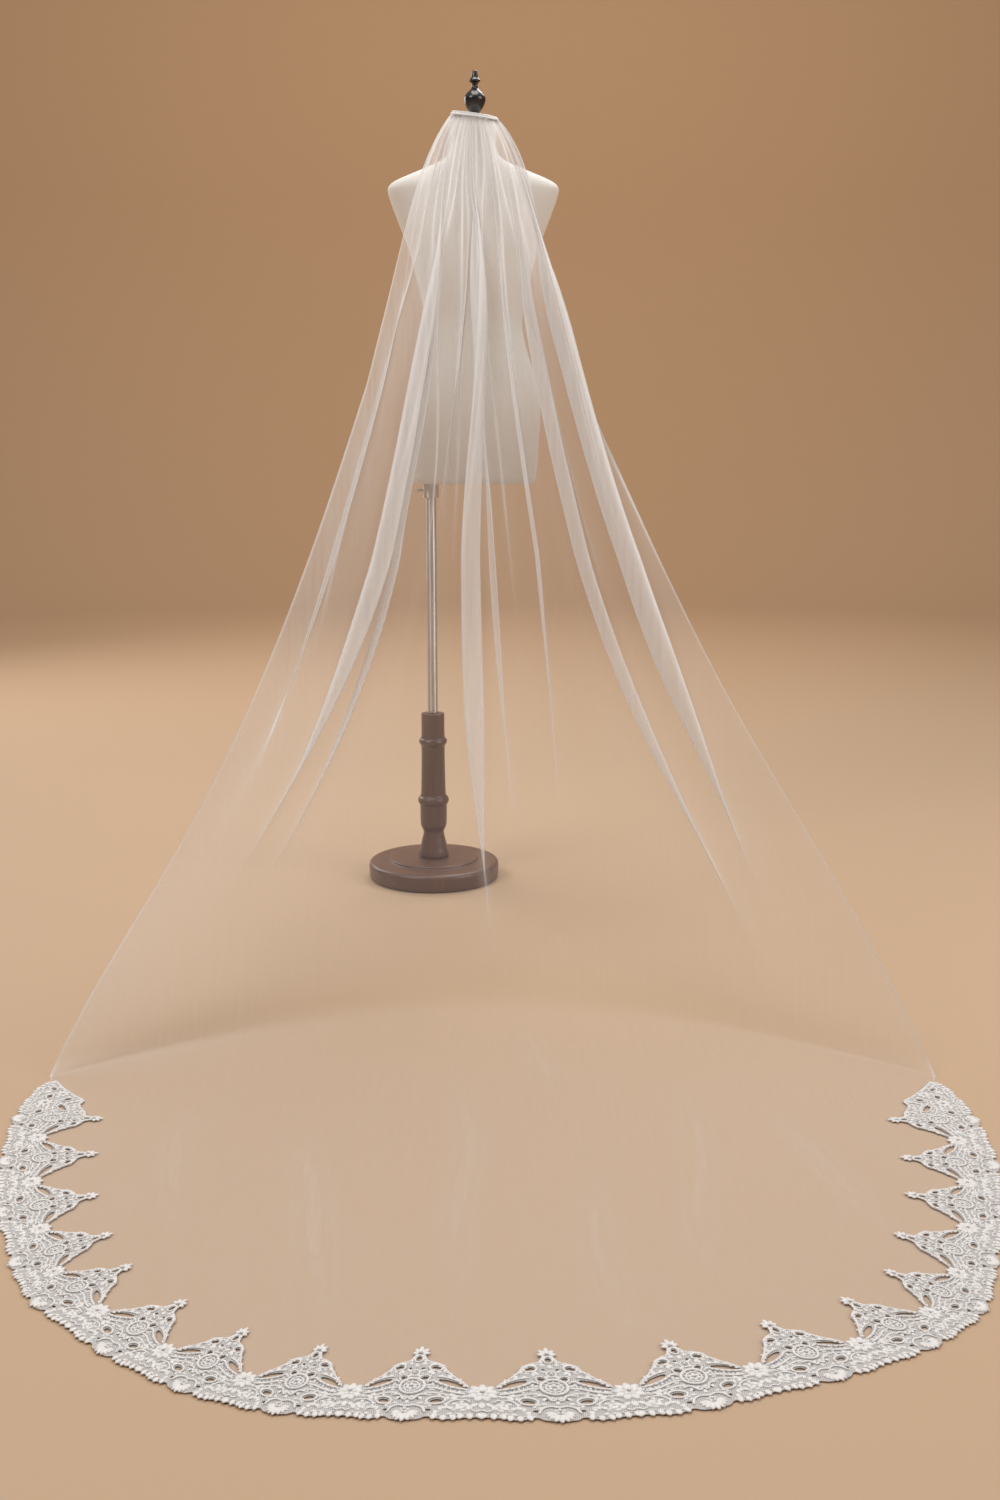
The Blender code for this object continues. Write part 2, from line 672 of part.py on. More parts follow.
def build_heading(parts, plastic, ribbon):
    """The comb against the back of the neck, and the narrow band over the gathered edge."""
    points, faces = comb_sheet()
    wall("comb", points, faces, COMB_THICKNESS, parts, plastic)
    clear = GATHER_CREST + TULLE_WALL / 2 + GAP + BINDING_THICKNESS / 2
    rows = []
    for reach in (0.0, BINDING_HEIGHT / HEAD_Z):
        edge = [hang_point(i / 6, reach) for i in range(-6, 7)]
        rows.append([(x, y - BINDING_SLANT * clear, z) for x, y, z in edge])
    wall_through("top_binding", rows, BINDING_THICKNESS, parts, ribbon)


def main():
    parts, cutters = clear_scene()
    wood = finish_of("stained_wood", (0.13, 0.065, 0.045), 0.45)
    steel = finish_of("steel", (0.60, 0.56, 0.52), 0.30, 1.0)
    jersey = finish_of("form_jersey", (0.80, 0.76, 0.70), 0.85)
    black = finish_of("black_lacquer", (0.010, 0.009, 0.009), 0.15)
    plastic = finish_of("comb_plastic", (0.85, 0.85, 0.83), 0.20)
    ribbon = finish_of("binding_ribbon", (0.86, 0.84, 0.82), 0.50)
    tulle = finish_of("tulle", (0.87, 0.84, 0.82), 0.60, alpha=0.35)
    lace = finish_of("lace", (0.86, 0.84, 0.82), 0.70)
    build_stand(parts, cutters, wood, steel)
    build_form(parts, jersey, black)
    build_tulle(parts, tulle)
    build_heading(parts, plastic, ribbon)
    build_lace(parts, lace)


main()
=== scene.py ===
import math

import bmesh
import bpy
import numpy as np
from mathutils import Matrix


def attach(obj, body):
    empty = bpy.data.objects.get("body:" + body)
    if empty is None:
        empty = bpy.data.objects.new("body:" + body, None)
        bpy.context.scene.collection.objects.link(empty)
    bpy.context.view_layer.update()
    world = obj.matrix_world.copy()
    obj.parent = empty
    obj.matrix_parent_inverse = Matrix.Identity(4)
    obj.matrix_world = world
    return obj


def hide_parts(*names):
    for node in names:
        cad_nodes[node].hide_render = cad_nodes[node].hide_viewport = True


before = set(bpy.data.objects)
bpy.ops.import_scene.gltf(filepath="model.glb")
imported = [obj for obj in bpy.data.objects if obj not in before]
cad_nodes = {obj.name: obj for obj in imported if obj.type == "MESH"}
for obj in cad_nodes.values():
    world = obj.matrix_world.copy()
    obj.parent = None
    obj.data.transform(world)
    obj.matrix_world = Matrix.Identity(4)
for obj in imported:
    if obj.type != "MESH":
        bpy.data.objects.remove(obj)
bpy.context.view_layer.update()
STILL = "veil_and_stand"


# Foot and column of the stand. Both are turned hardwood, stained dark brown and given a
# satin varnish, with a shallow step round the foot and two raised beads on the column.
FOOT_OUTLINE = [
    (0, 46), (93, 46), (96, 44.5), (96.5, 41), (100, 40), (134, 39), (140.5, 36), (143, 29),
    (142, 8), (139, 0), (0, 0),
]
COLUMN_OUTLINE = [
    (0, 367), (24, 367), (25, 365), (25, 313), (28.5, 311), (31, 305), (28.5, 299), (24.8, 295),
    (26.5, 200), (27.5, 184), (32.5, 180), (34, 173), (32, 167), (29, 164), (29, 122),
    (26.5, 113), (22.2, 105), (22.6, 97), (27.5, 77), (30, 66), (32.5, 58), (33, 52.3),
    (32, 46.3), (0, 46.3),
]
STAIN_LIGHT = (0.170, 0.076, 0.045, 1)
STAIN_DARK = (0.085, 0.038, 0.025, 1)


def placed(name, data):
    """A new object in the scene."""
    thing = bpy.data.objects.new(name, data)
    bpy.context.scene.collection.objects.link(thing)
    return thing


def shown(name, mesh, material, slot, *stands_for):
    """Puts a finished mesh in the scene, with its material, on its body, for the nodes it replaces; the
    slot is not used.
    """
    thing = placed(name, mesh)
    mesh.materials.append(material)
    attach(thing, STILL)
    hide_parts(*stands_for)
    return thing


def smooth_mesh(name, points, faces, sharp=None):
    """A mesh from points and faces, shaded smooth up to a sharp angle in degrees."""
    mesh = bpy.data.meshes.new(name)
    mesh.from_pydata(points, [], faces)
    mesh.shade_smooth()
    if sharp:
        mesh.set_sharp_from_angle(angle=math.radians(sharp))
    return mesh


def ring_faces(rows, sides, closed=False):
    """Faces that join rows of points, each row a ring, with two end faces if it is open."""
    total = rows * sides
    faces = [
        (a + i, (a + sides + i) % total, (a + sides + (i + 1) % sides) % total, a + (i + 1) % sides)
        for a in range(0, total if closed else total - sides, sides) for i in range(sides)
    ]
    if not closed:
        faces += [tuple(range(sides)), tuple(reversed(range(total - sides, total)))]
    return faces


def softened(outline, rounds=2):
    """Cuts the corners of a turner's outline, so that each edge is eased."""
    points = np.array(outline)
    for _ in range(rounds):
        near = points[:-1] * 0.8 + points[1:] * 0.2
        far = points[:-1] * 0.2 + points[1:] * 0.8
        middle = np.stack([near, far], axis=1).reshape(-1, 2)
        points = np.vstack([points[:1], middle, points[-1:]])
    return points


def turned(name, outline, sides, x=0.0, base=0.0):
    """A closed turned mesh from an outline of radius and height in mm, top to bottom."""
    rings = softened(outline)[1:-1] / 1000
    angle = 2 * np.pi * np.arange(sides) / sides
    points = [
        (x + r * c, r * s, base + z) for r, z in rings for c, s in zip(np.cos(angle), np.sin(angle))
    ]
    return smooth_mesh(name, points, ring_faces(len(rings), sides), 40)


def node_group(name, result, **inputs):
    """A shader node group with these named inputs and one output, and its two end nodes."""
    tree = bpy.data.node_groups.new(name, "ShaderNodeTree")
    for title, value in inputs.items():
        kind = "NodeSocketVector" if isinstance(value, tuple) else "NodeSocketFloat"
        tree.interface.new_socket(title, in_out="INPUT", socket_type=kind).default_value = value
    tree.interface.new_socket(result, in_out="OUTPUT", socket_type="NodeSocketFloat")
    return tree, tree.nodes.new("NodeGroupInput"), tree.nodes.new("NodeGroupOutput")


def wired(tree, kind, inputs, **choices):
    """Adds a shader node, whose inputs each take a plain value or another node's output."""
    node = tree.nodes.new("ShaderNode" + kind)
    for title, choice in choices.items():
        setattr(node, title, choice)
    for title, value in inputs.items():
        if isinstance(value, bpy.types.NodeSocket):
            tree.links.new(value, node.inputs[title])
        else:
            node.inputs[title].default_value = value
    return node


def maths(tree, operation, *values):
    """The output of one math node, from plain values or other nodes' outputs."""
    return wired(tree, "Math", dict(enumerate(values)), operation=operation).outputs[0]


def on_object(tree):
    """The place of each point on its own piece, in metres."""
    return wired(tree, "TexCoord", {}).outputs["Object"]


def stretched_grain_group():
    """Noise drawn out along one direction: wood grain, brushing, slubs and soft stains."""
    tree, given, out = node_group("stretched grain", "Mask", Stretch=(1, 1, 1), Contrast=1.0)
    drawn = wired(
        tree, "VectorMath", {0: on_object(tree), 1: given.outputs["Stretch"]}, operation="MULTIPLY"
    )
    noise = wired(tree, "TexNoise", {"Vector": drawn.outputs[0], "Scale": 1.0, "Detail": 5.0})
    centre = maths(tree, "SUBTRACT", noise.outputs["Fac"], 0.5)
    spread = maths(tree, "MULTIPLY_ADD", centre, given.outputs["Contrast"], 0.5)
    clamp = wired(tree, "Clamp", {"Value": spread})
    tree.links.new(clamp.outputs["Result"], out.inputs["Mask"])
    return tree


grain_group = stretched_grain_group()


def finish(name, **settings):
    """A material, and its Principled BSDF with these socket values set on it."""
    material = bpy.data.materials.new(name)
    material.use_nodes = True
    shader = material.node_tree.nodes["Principled BSDF"]
    for title, value in settings.items():
        shader.inputs[title.replace("_", " ")].default_value = value
    return material, material.node_tree, shader


def use_group(tree, group, **values):
    """Places a node group in a material with its own values, and gives its output."""
    node = tree.nodes.new("ShaderNodeGroup")
    node.node_tree = group
    for title, value in values.items():
        node.inputs[title].default_value = value
    return node.outputs[0]


def tinted(tree, mask, low, high, shader):
    """Feeds a colour between two shades, by a mask, to the shader's base colour."""
    mix = tree.nodes.new("ShaderNodeMix")
    mix.data_type = "RGBA"
    mix.inputs["A"].default_value = low
    mix.inputs["B"].default_value = high
    tree.links.new(mask, mix.inputs["Factor"])
    tree.links.new(mix.outputs["Result"], shader.inputs["Base Color"])


def ranged(tree, mask, low, high, socket):
    """Feeds a number between two limits, by a mask, to a socket."""
    spread = wired(tree, "MapRange", {"Value": mask, "To Min": low, "To Max": high})
    tree.links.new(spread.outputs["Result"], socket)


def bumped(tree, height, shader, strength, distance):
    """Raises the surface by a height, through the shader's normal."""
    bump = wired(tree, "Bump", {"Strength": strength, "Distance": distance, "Height": height})
    tree.links.new(bump.outputs["Normal"], shader.inputs["Normal"])


stained_wood, tree, shader = finish(
    "stained wood", Coat_Weight=0.35, Coat_Roughness=0.28, Specular_IOR_Level=0.4
)
fibres = use_group(tree, grain_group, Stretch=(160, 160, 7), Contrast=1.8)
clouds = use_group(tree, grain_group, Stretch=(14, 14, 5), Contrast=1.4)
tinted(tree, maths(tree, "MULTIPLY", fibres, clouds), STAIN_DARK, STAIN_LIGHT, shader)
ranged(tree, clouds, 0.34, 0.50, shader.inputs["Roughness"])
bumped(tree, fibres, shader, 0.25, 0.0004)

shown("turned_foot", turned("turned_foot", FOOT_OUTLINE, 128), stained_wood, "stained_wood", "foot")
shown(
    "turned_column", turned("turned_column", COLUMN_OUTLINE, 96), stained_wood, "stained_wood",
    "column",
)


# Pole, clamp collar and wing screw. The pole is a satin steel tube that the form slides
# on, and the screw in the collar holds its height. All three are brushed round or along.
def grained(name, stretch, contrast, dark, light, **settings):
    """A material that runs between two shades along a grain, with its parts and the mask."""
    material, tree, shader = finish(name, **settings)
    mask = use_group(tree, grain_group, Stretch=stretch, Contrast=contrast)
    tinted(tree, mask, dark, light, shader)
    return material, tree, shader, mask


satin_steel, tree, shader, brushing = grained(
    "satin steel", (260, 260, 12), 1.6, (0.54, 0.53, 0.52, 1), (0.74, 0.73, 0.72, 1),
    Metallic=1.0, Anisotropic=0.85, Anisotropic_Rotation=0.25,
)
ranged(tree, brushing, 0.28, 0.42, shader.inputs["Roughness"])
bumped(tree, brushing, shader, 0.15, 0.0002)
for name in ("pole", "collar", "clamp_screw"):
    mesh = cad_nodes[name].data
    mesh.materials.clear()
    mesh.materials.append(satin_steel)

POLE_OUTLINE = [
    (0, 491.8), (10.2, 491.8), (11, 491), (11, 487), (11, 4.8), (11, 0.8), (10.2, 0), (0, 0),
]
POLE_BASE = 0.3675
pole_mesh = turned("steel_pole", POLE_OUTLINE, 64, base=POLE_BASE)
shown("steel_pole", pole_mesh, satin_steel, "steel", "pole")


# Body of the dress form: a stiff shell, cut off flat at neck and hip, with shallow
# armholes and no limbs, under a close cover of off-white cotton jersey.
# Its sections from the top, in mm: height, half width, depth to the chest and to the back.
FORM_MIDDLE = 0.0915
FORM_ROWS = [
    (1590, 40, 40, 40), (1584, 45.5, 45.5, 45.5), (1545, 45, 45, 45), (1521, 51, 47, 48),
    (1505, 66, 52, 54), (1491, 98, 57, 60), (1478, 131, 61, 65), (1466, 159, 65, 69),
    (1456, 172, 69, 72), (1443, 174, 74, 75), (1415, 165, 84, 80), (1376, 150, 98, 86),
    (1330, 132, 112, 86), (1280, 119, 108, 81), (1235, 108, 88, 74), (1190, 100, 78, 70),
    (1140, 108, 81, 78), (1080, 127, 88, 93), (1012, 139, 93, 105), (940, 136, 93, 106),
    (866, 130, 89, 99), (860, 127, 86, 96),
]
FORM_SQUARENESS = 2.25
FORM_SIDES = 120
SEAM_ANGLES = (0, 62, 90, 118, 180, 242, 270, 298)
SEAM_DEPTH = 0.0008
SEAM_WIDTH = 2.2
# JERSEY_DARK is mostly painted shade, reached towards the hip; the two heights below give where that
# painted shade is full and where it ends.
JERSEY_LIGHT = (0.80, 0.775, 0.735, 1)
JERSEY_DARK = (0.50, 0.455, 0.405, 1)
PAINTED_SHADE_FULL_BELOW = 0.84
PAINTED_SHADE_ENDS_ABOVE = 1.38


def flowing(table, places):
    """Columns of a table at these places of its row numbers, as one smooth curve."""
    table = np.array(table)
    last = len(table) - 1
    i = np.clip(places.astype(int), 0, last - 1)
    t = (places - i)[:, None]
    before, here = table[np.maximum(i - 1, 0)], table[i]
    after, later = table[i + 1], table[np.minimum(i + 2, last)]
    bend = 2 * before - 5 * here + 4 * after - later
    twist = 3 * here - before - 3 * after + later
    return 0.5 * (2 * here + (after - before) * t + bend * t ** 2 + twist * t ** 3)


def form_mesh():
    """The covered form, with its panel seams drawn in as fine grooves."""
    places = np.concatenate([[0, 1], np.linspace(1, len(FORM_ROWS) - 2, 110)[1:], [len(FORM_ROWS) - 1]])
    rows = flowing(FORM_ROWS, places) / 1000
    angle = np.linspace(0, 360, FORM_SIDES, endpoint=False)
    cos, sin = np.cos(np.radians(angle)), np.sin(np.radians(angle))
    groove = np.zeros(FORM_SIDES)
    for seam in SEAM_ANGLES:
        away = np.abs((angle - seam + 180) % 360 - 180)
        groove += np.exp(-(away / SEAM_WIDTH) ** 2)
    power = 2 / FORM_SQUARENESS
    points = []
    for height, half, chest, back in rows:
        depth = np.where(sin > 0, chest, back)
        shrink = 1 - SEAM_DEPTH * groove / half
        x = FORM_MIDDLE + shrink * half * np.sign(cos) * np.abs(cos) ** power
        y = shrink * depth * np.sign(sin) * np.abs(sin) ** power
        points += list(zip(x, y, np.full(FORM_SIDES, height)))
    return smooth_mesh("form_cover", points, ring_faces(len(rows), FORM_SIDES), 50)


def knit_group():
    """Rows of small stitches round the body, as a height."""
    tree, given, out = node_group("knit stitches", "Height", Stitches=700.0)
    rows = {"Vector": on_object(tree), "Scale": given.outputs["Stitches"], "Distortion": 0.6}
    along = wired(tree, "TexWave", rows, bands_direction="Z")
    across = wired(tree, "TexWave", rows, bands_direction="X")
    both = maths(tree, "ADD", along.outputs["Fac"], across.outputs["Fac"])
    tree.links.new(both, out.inputs["Height"])
    return tree


knit = knit_group()
jersey, tree, shader = finish("cotton jersey", Roughness=0.9, Sheen_Weight=0.15)
tone = use_group(tree, grain_group, Stretch=(9, 9, 6), Contrast=1.3)
height = wired(tree, "SeparateXYZ", {"Vector": on_object(tree)})
# Painted shade: the jersey grows darker towards the hip by height, with a little random tone over it.
painted_shade_by_height = wired(tree, "MapRange", {
    "Value": height.outputs["Z"], "From Min": PAINTED_SHADE_FULL_BELOW, "From Max": PAINTED_SHADE_ENDS_ABOVE, "To Max": 0.8,
})
tone_and_painted_shade = maths(tree, "MULTIPLY_ADD", tone, 0.2, painted_shade_by_height.outputs["Result"])
tinted(tree, tone_and_painted_shade, JERSEY_DARK, JERSEY_LIGHT, shader)
bumped(tree, use_group(tree, knit, Stitches=420.0), shader, 0.25, 0.0005)
shown("form_cover", form_mesh(), jersey, "form_jersey", "form_body")


# Finial: a small turned knob in gloss black, screwed into the cap of the neck.
FINIAL_MIDDLE = 0.095
NECK_TOP = 1.590
FINIAL_OUTLINE = [
    (0, 90), (3.2, 89.3), (5.2, 86.8), (6, 81.5), (7.2, 75.5), (10, 72.2), (11.8, 70),
    (10.5, 67.5), (6.6, 65), (5.6, 60), (7, 54.5), (12, 50), (18, 44), (21.8, 38), (22.4, 33),
    (20.5, 26), (16, 17), (10.5, 10), (8.5, 7), (10.5, 4), (12, 1.5), (11.5, 0.3), (0, 0.3),
]
black_lacquer, tree, shader, handling = grained(
    "black lacquer", (60, 60, 60), 1.5, (0.006, 0.0055, 0.005, 1), (0.014, 0.012, 0.011, 1),
    Coat_Weight=0.3, Coat_Roughness=0.12,
)
ranged(tree, handling, 0.22, 0.36, shader.inputs["Roughness"])
finial_mesh = turned("turned_finial", FINIAL_OUTLINE, 72, FINIAL_MIDDLE, NECK_TOP)
shown("turned_finial", finial_mesh, black_lacquer, "black_lacquer", "finial")


# Tulle of the veil: one cut of soft nylon net, 1.4 m wide and 3 m long, gathered on to
# the comb. It hangs in deep soft folds, lands on the floor and runs out as the train.
COMB_MIDDLE = 0.095
COMB_HALF = 0.0435
COMB_BOW = 0.011
COMB_TILT = 0.006
HEAD_Y = -0.0517
HEAD_Z = 1.588
LANDING = (0.132, -0.810)
PUFF = 0.017
PUFF_REACH = 0.07
SAG_LEFT = (2.79, 2.3, 1.8)
SAG_RIGHT = (2.90, 2.0, 2.4)
FILLET = 0.030
LANDING_RUN = 0.075
LANDING_LEFT_AT_CORNER = 0.008
TRAIN_LEFT_AT_CORNER = 0.020
CORNER_POWER = 1.7
LYING = 0.0006
HEM_MIDDLE = (0.132, -1.283)
CORNER_ANGLE = 101.5
HEM_ANGLES = (-101.5, -76.0, -62.0, -45.0, -22.0, -2.0, 20.0, 45.0, 61.0, 76.0, 101.5)
HEM_RADII = (0.688, 0.672, 0.682, 0.712, 0.732, 0.708, 0.726, 0.756, 0.716, 0.697, 0.694)
HEM_UNDER_LACE = 0.010
TULLE_COLUMNS = 640
FALL_STEPS = 84
LANDING_STEPS = 8
TRAIN_STEPS = 42

# Each deep fold: where it lies across the veil (-1 to 1) at three reaches from comb to
# floor, then its width, depth and lap in metres, and the reach where it has died out.
FOLD_REACHES = (0.20, 0.45, 0.72)
FOLDS = [
    (-0.820, -0.850, -0.870, 0.050, 0.015, 0.014, 0.84),
    (-0.560, -0.600, -0.735, 0.034, 0.032, 0.050, 0.86),
    (-0.390, -0.480, -0.630, 0.026, 0.022, 0.030, 0.88),
    (-0.200, -0.260, -0.280, 0.016, 0.014, 0.014, 0.50),
    (-0.040, -0.075, -0.033, 0.029, 0.030, 0.040, 1.00),
    (0.070, 0.065, 0.085, 0.030, 0.014, 0.016, 0.88),
    (0.300, 0.330, 0.250, 0.018, 0.014, 0.010, 0.84),
    (0.440, 0.450, 0.450, 0.014, 0.012, 0.010, 0.44),
    (0.570, 0.585, 0.655, 0.029, 0.026, 0.034, 0.98),
    (0.700, 0.680, 0.690, 0.014, 0.012, 0.008, 0.44),
    (0.880, 0.860, 0.800, 0.036, 0.034, 0.056, 0.92),
]
GATHERS = 10
GATHER_REACHES = (0.0, 0.016, 0.04, 0.075, 0.12, 0.18, 0.26, 0.36, 0.48, 0.62, 1.0)
GATHER_DEPTHS = (0.0012, 0.0024, 0.0038, 0.0048, 0.0048, 0.0040, 0.0028, 0.0016, 0.0010, 0.0006, 0.0)
NET_REACHES = (0.0, 0.02, 0.06, 0.12, 0.20, 0.32, 0.48, 0.70, 1.0, 2.0)
NET_DENSITIES = (0.80, 0.62, 0.46, 0.34, 0.26, 0.18, 0.125, 0.090, 0.110, 0.14)
BAND_COVER = 0.30
CREASE_COVER = 0.50
TRAIN_CREASE_COVER = 0.05
EDGE_COVER = 0.30
EDGE_FROM = 0.991
EDGE_RUN = 0.004
SHARPEST_BEND = 160
FULLNESS_LEFT = 1.7
FULLNESS_RIGHT = 0.8
THINNER_MIDDLE = 0.38
# Painted shade on the net where it turns down to the floor: its strength, its place along the net and its
# reach.
LANDING_SHADE = 0.8
LANDING_SHADE_PLACE = 0.992
LANDING_SHADE_REACH = 0.030


def smooth_step(share):
    """A share from 0 to 1, eased at both ends."""
    share = np.clip(share, 0.0, 1.0)
    return share * share * (3 - 2 * share)


def eased(at, stations, values):
    """Values between stations, with a smooth step from each to the next."""
    stations, values = np.array(stations), np.array(values)
    at = np.clip(at, stations[0], stations[-1])
    i = np.clip(np.searchsorted(stations, at, side="right") - 1, 0, len(stations) - 2)
    share = smooth_step((at - stations[i]) / (stations[i + 1] - stations[i]))
    return values[i] * (1 - share) + values[i + 1] * share


def floor_place(angle, inward):
    """A place on the floor from an angle round the hem, in degrees, and a depth inside it."""
    radius = eased(angle, HEM_ANGLES, HEM_RADII) - inward
    turn = np.radians(angle)
    return HEM_MIDDLE[0] + radius * np.sin(turn), HEM_MIDDLE[1] - radius * np.cos(turn)


def landing_place(across):
    """Where the hanging tulle meets the floor."""
    corner_x, corner_y = floor_place(np.where(across < 0, -CORNER_ANGLE, CORNER_ANGLE), 0.0)
    x = LANDING[0] + (corner_x - LANDING[0]) * np.abs(across)
    run = corner_y + TRAIN_LEFT_AT_CORNER - LANDING[1]
    return x, LANDING[1] + run * np.abs(across) ** CORNER_POWER


def hanging_sheet(across, reach):
    """The sheet before it is folded: straight from comb to floor but for its sag."""
    dx = COMB_HALF * across
    hx = COMB_MIDDLE + dx
    hy = HEAD_Y + COMB_BOW * (dx / COMB_HALF) ** 2
    hz = HEAD_Z - COMB_TILT * dx / COMB_HALF
    lx, ly = landing_place(across)
    held = np.minimum(reach, 1.0)
    left, right = (a * held ** b * (1 - held) ** c for a, b, c in (SAG_LEFT, SAG_RIGHT))
    line = hz * (1 - reach) - left - (right - left) * (across + 1) / 2
    fillet = FILLET * (1 - np.minimum(1.0, across * across)) + 0.002
    z = (line + np.sqrt(line * line + fillet * fillet * reach)) / 2
    u = reach / PUFF_REACH
    x = hx + (lx - hx) * reach + across * PUFF * u * np.exp(1 - u)
    return np.stack([x, hy + (ly - hy) * reach, z + LYING], axis=-1)


def fold_shift(across, reach, half_width):
    """How far the folds carry the tulle sideways and out, in metres, and how close they lie."""
    side, out, close = np.zeros((3,) + across.shape)
    top, half, foot = FOLD_REACHES
    for high, middle, low, width, depth, lap, end in FOLDS:
        upper = high + (middle - high) * smooth_step((reach - top) / (half - top))
        lower = middle + (low - middle) * (reach - half) / (foot - half)
        place = np.where(reach <= half, upper, lower)
        narrow = np.minimum(width, 0.22 * half_width)
        strength = smooth_step((reach - 0.03) / 0.2) * narrow / width
        strength = strength * (1 - smooth_step((reach - end + 0.40) / 0.40))
        t = (across - place) * half_width / narrow
        swing = np.exp(0.5 * (1 - (t / 0.45) ** 2)) * t / 0.45
        side = side - strength * (lap / 2 + 0.35 * narrow) * swing
        out = out + strength * depth * np.exp(-(t / 0.75) ** 2)
        close = close + strength * min(1.0, lap / 0.04) * np.exp(-(t / 0.62) ** 4)
    fade = np.interp(reach, GATHER_REACHES, GATHER_DEPTHS)
    wander = 0.30 * np.sin(5 * across + 0.7) + 0.20 * np.sin(12 * across + 2.0)
    turn = 2 * np.pi * (GATHERS * across / 2 + wander)
    number = np.floor(turn / (2 * np.pi))
    life = 0.28 + 0.30 * (0.5 + 0.5 * np.sin(2.4 * number + 1.0))
    depth = fade * (0.75 + 0.25 * np.sin(7.3 * across + 1.1))
    depth = depth * (1 - smooth_step((reach - life + 0.3) / 0.3))
    side = side - 0.55 * depth * np.sin(2 * turn)
    out = out + depth * np.cos(turn)
    ripple = 0.006 * smooth_step(reach / 0.3) * (1 - smooth_step((reach - 0.55) / 0.4))
    out = out + ripple * np.sin(2 * np.pi * (2.6 * across + 0.35 * np.sin(3 * reach + 2 * across)))
    return side, out, close


def unit(v):
    return v / np.linalg.norm(v, axis=-1, keepdims=True)


def fallen_tulle():
    """Points of the hanging tulle, row by row from the comb down."""
    across = np.linspace(-1, 1, TULLE_COLUMNS + 1)
    reach = np.linspace(0, 1, FALL_STEPS + 1) ** 1.25
    across, reach = np.meshgrid(across, reach)
    step = 0.002
    beside = hanging_sheet(across + step, reach) - hanging_sheet(across - step, reach)
    below = hanging_sheet(across, np.minimum(1, reach + step))
    below = below - hanging_sheet(across, np.maximum(0, reach - step))
    tangent, outward = unit(beside), unit(np.cross(below, beside))
    right, left = (hanging_sheet(np.full_like(reach, edge), reach)[..., 0] for edge in (1, -1))
    half_width = (right - left) / 2
    side, out, close = fold_shift(across, reach, half_width)
    folded = hanging_sheet(across, reach) + side[..., None] * tangent + out[..., None] * outward
    return folded, reach, close


# Soft creases of the train: start and end on the floor, width and height.
DEEPEST_CREASE = 0.0050
TRAIN_CREASES = [
    ((-0.16, -1.30), (-0.03, -1.80), 0.016, 0.0042),
    ((0.08, -1.06), (0.11, -1.80), 0.015, 0.0024),
    ((0.16, -0.88), (0.23, -1.20), 0.014, 0.0026),
    ((0.42, -1.10), (0.40, -1.74), 0.016, 0.0020),
    ((0.52, -1.26), (0.64, -1.58), 0.014, 0.0026),
    ((-0.30, -1.22), (-0.27, -1.62), 0.014, 0.0022),
    ((0.26, -1.42), (0.29, -1.86), 0.015, 0.0018),
]


def lying_tulle(last):
    """Points of the train, from the last hanging row out to the hem."""
    across = np.linspace(-1, 1, TULLE_COLUMNS + 1)
    hem_x, hem_y = floor_place(CORNER_ANGLE * across, HEM_UNDER_LACE)
    length = np.hypot(hem_x - last[:, 0], hem_y - last[:, 1])
    run = LANDING_LEFT_AT_CORNER + (LANDING_RUN - LANDING_LEFT_AT_CORNER) * (1 - across ** 2)
    run = np.minimum(run, 0.9 * length)
    landed = (run / length)[None, :]
    near = np.linspace(0, 1, LANDING_STEPS + 1)[1:, None] * landed
    far = np.linspace(0, 1, TRAIN_STEPS + 1)[1:, None] * (1 - landed)
    share = np.vstack([near, landed + far])
    x = last[:, 0] + (hem_x - last[:, 0]) * share
    y = last[:, 1] + (hem_y - last[:, 1]) * share
    z = (last[:, 2] - LYING) * (1 - np.clip(share * length / run, 0, 1)) ** 2 + LYING
    calm = smooth_step((1 - share) * length / 0.16) * smooth_step(share * length / 0.10)
    ridge = np.zeros_like(z)
    for (x0, y0), (x1, y1), width, height in TRAIN_CREASES:
        long = math.hypot(x1 - x0, y1 - y0)
        ux, uy = (x1 - x0) / long, (y1 - y0) / long
        along = (x - x0) * ux + (y - y0) * uy
        aside = (x - x0) * -uy + (y - y0) * ux + 0.012 * np.sin(11 * along + 20 * x0)
        ends = smooth_step(along / (0.4 * long)) * smooth_step((long - along) / (0.4 * long))
        z = z + calm * height * ends * np.exp(-(aside / width) ** 2)
        ridge = ridge + calm * ends * height / DEEPEST_CREASE * np.exp(-(aside / (0.6 * width)) ** 2)
    return np.stack([x, y, z], axis=-1), share, ridge


def grid_mesh(name, points):
    """A single surface through rows of points."""
    rows, columns = points.shape[:2]
    index = np.arange(rows * columns).reshape(rows, columns)
    faces = np.stack([index[:-1, :-1], index[1:, :-1], index[1:, 1:], index[:-1, 1:]], axis=-1)
    return smooth_mesh(name, points.reshape(-1, 3).tolist(), faces.reshape(-1, 4).tolist())


def point_values(mesh, name, values):
    """Stores one number for each point of a mesh, for its material to read."""
    layer = mesh.attributes.new(name, "FLOAT", "POINT")
    layer.data.foreach_set("value", np.asarray(values, dtype=np.float32).ravel())


def crease_strength(points):
    """How sharply each point's row bends there, from 0 on flat net to 1 on a crease."""
    before = points[:, 1:-1] - points[:, :-2]
    after = points[:, 2:] - points[:, 1:-1]
    step = (np.linalg.norm(before, axis=-1) + np.linalg.norm(after, axis=-1)) / 2
    bend = np.linalg.norm(unit(after) - unit(before), axis=-1) / step
    bend = np.pad(bend, ((0, 0), (1, 1)))
    for _ in range(2):
        bend = (np.roll(bend, 1, axis=1) + 2 * bend + np.roll(bend, -1, axis=1)) / 4
    return np.clip(bend / SHARPEST_BEND, 0, 1)


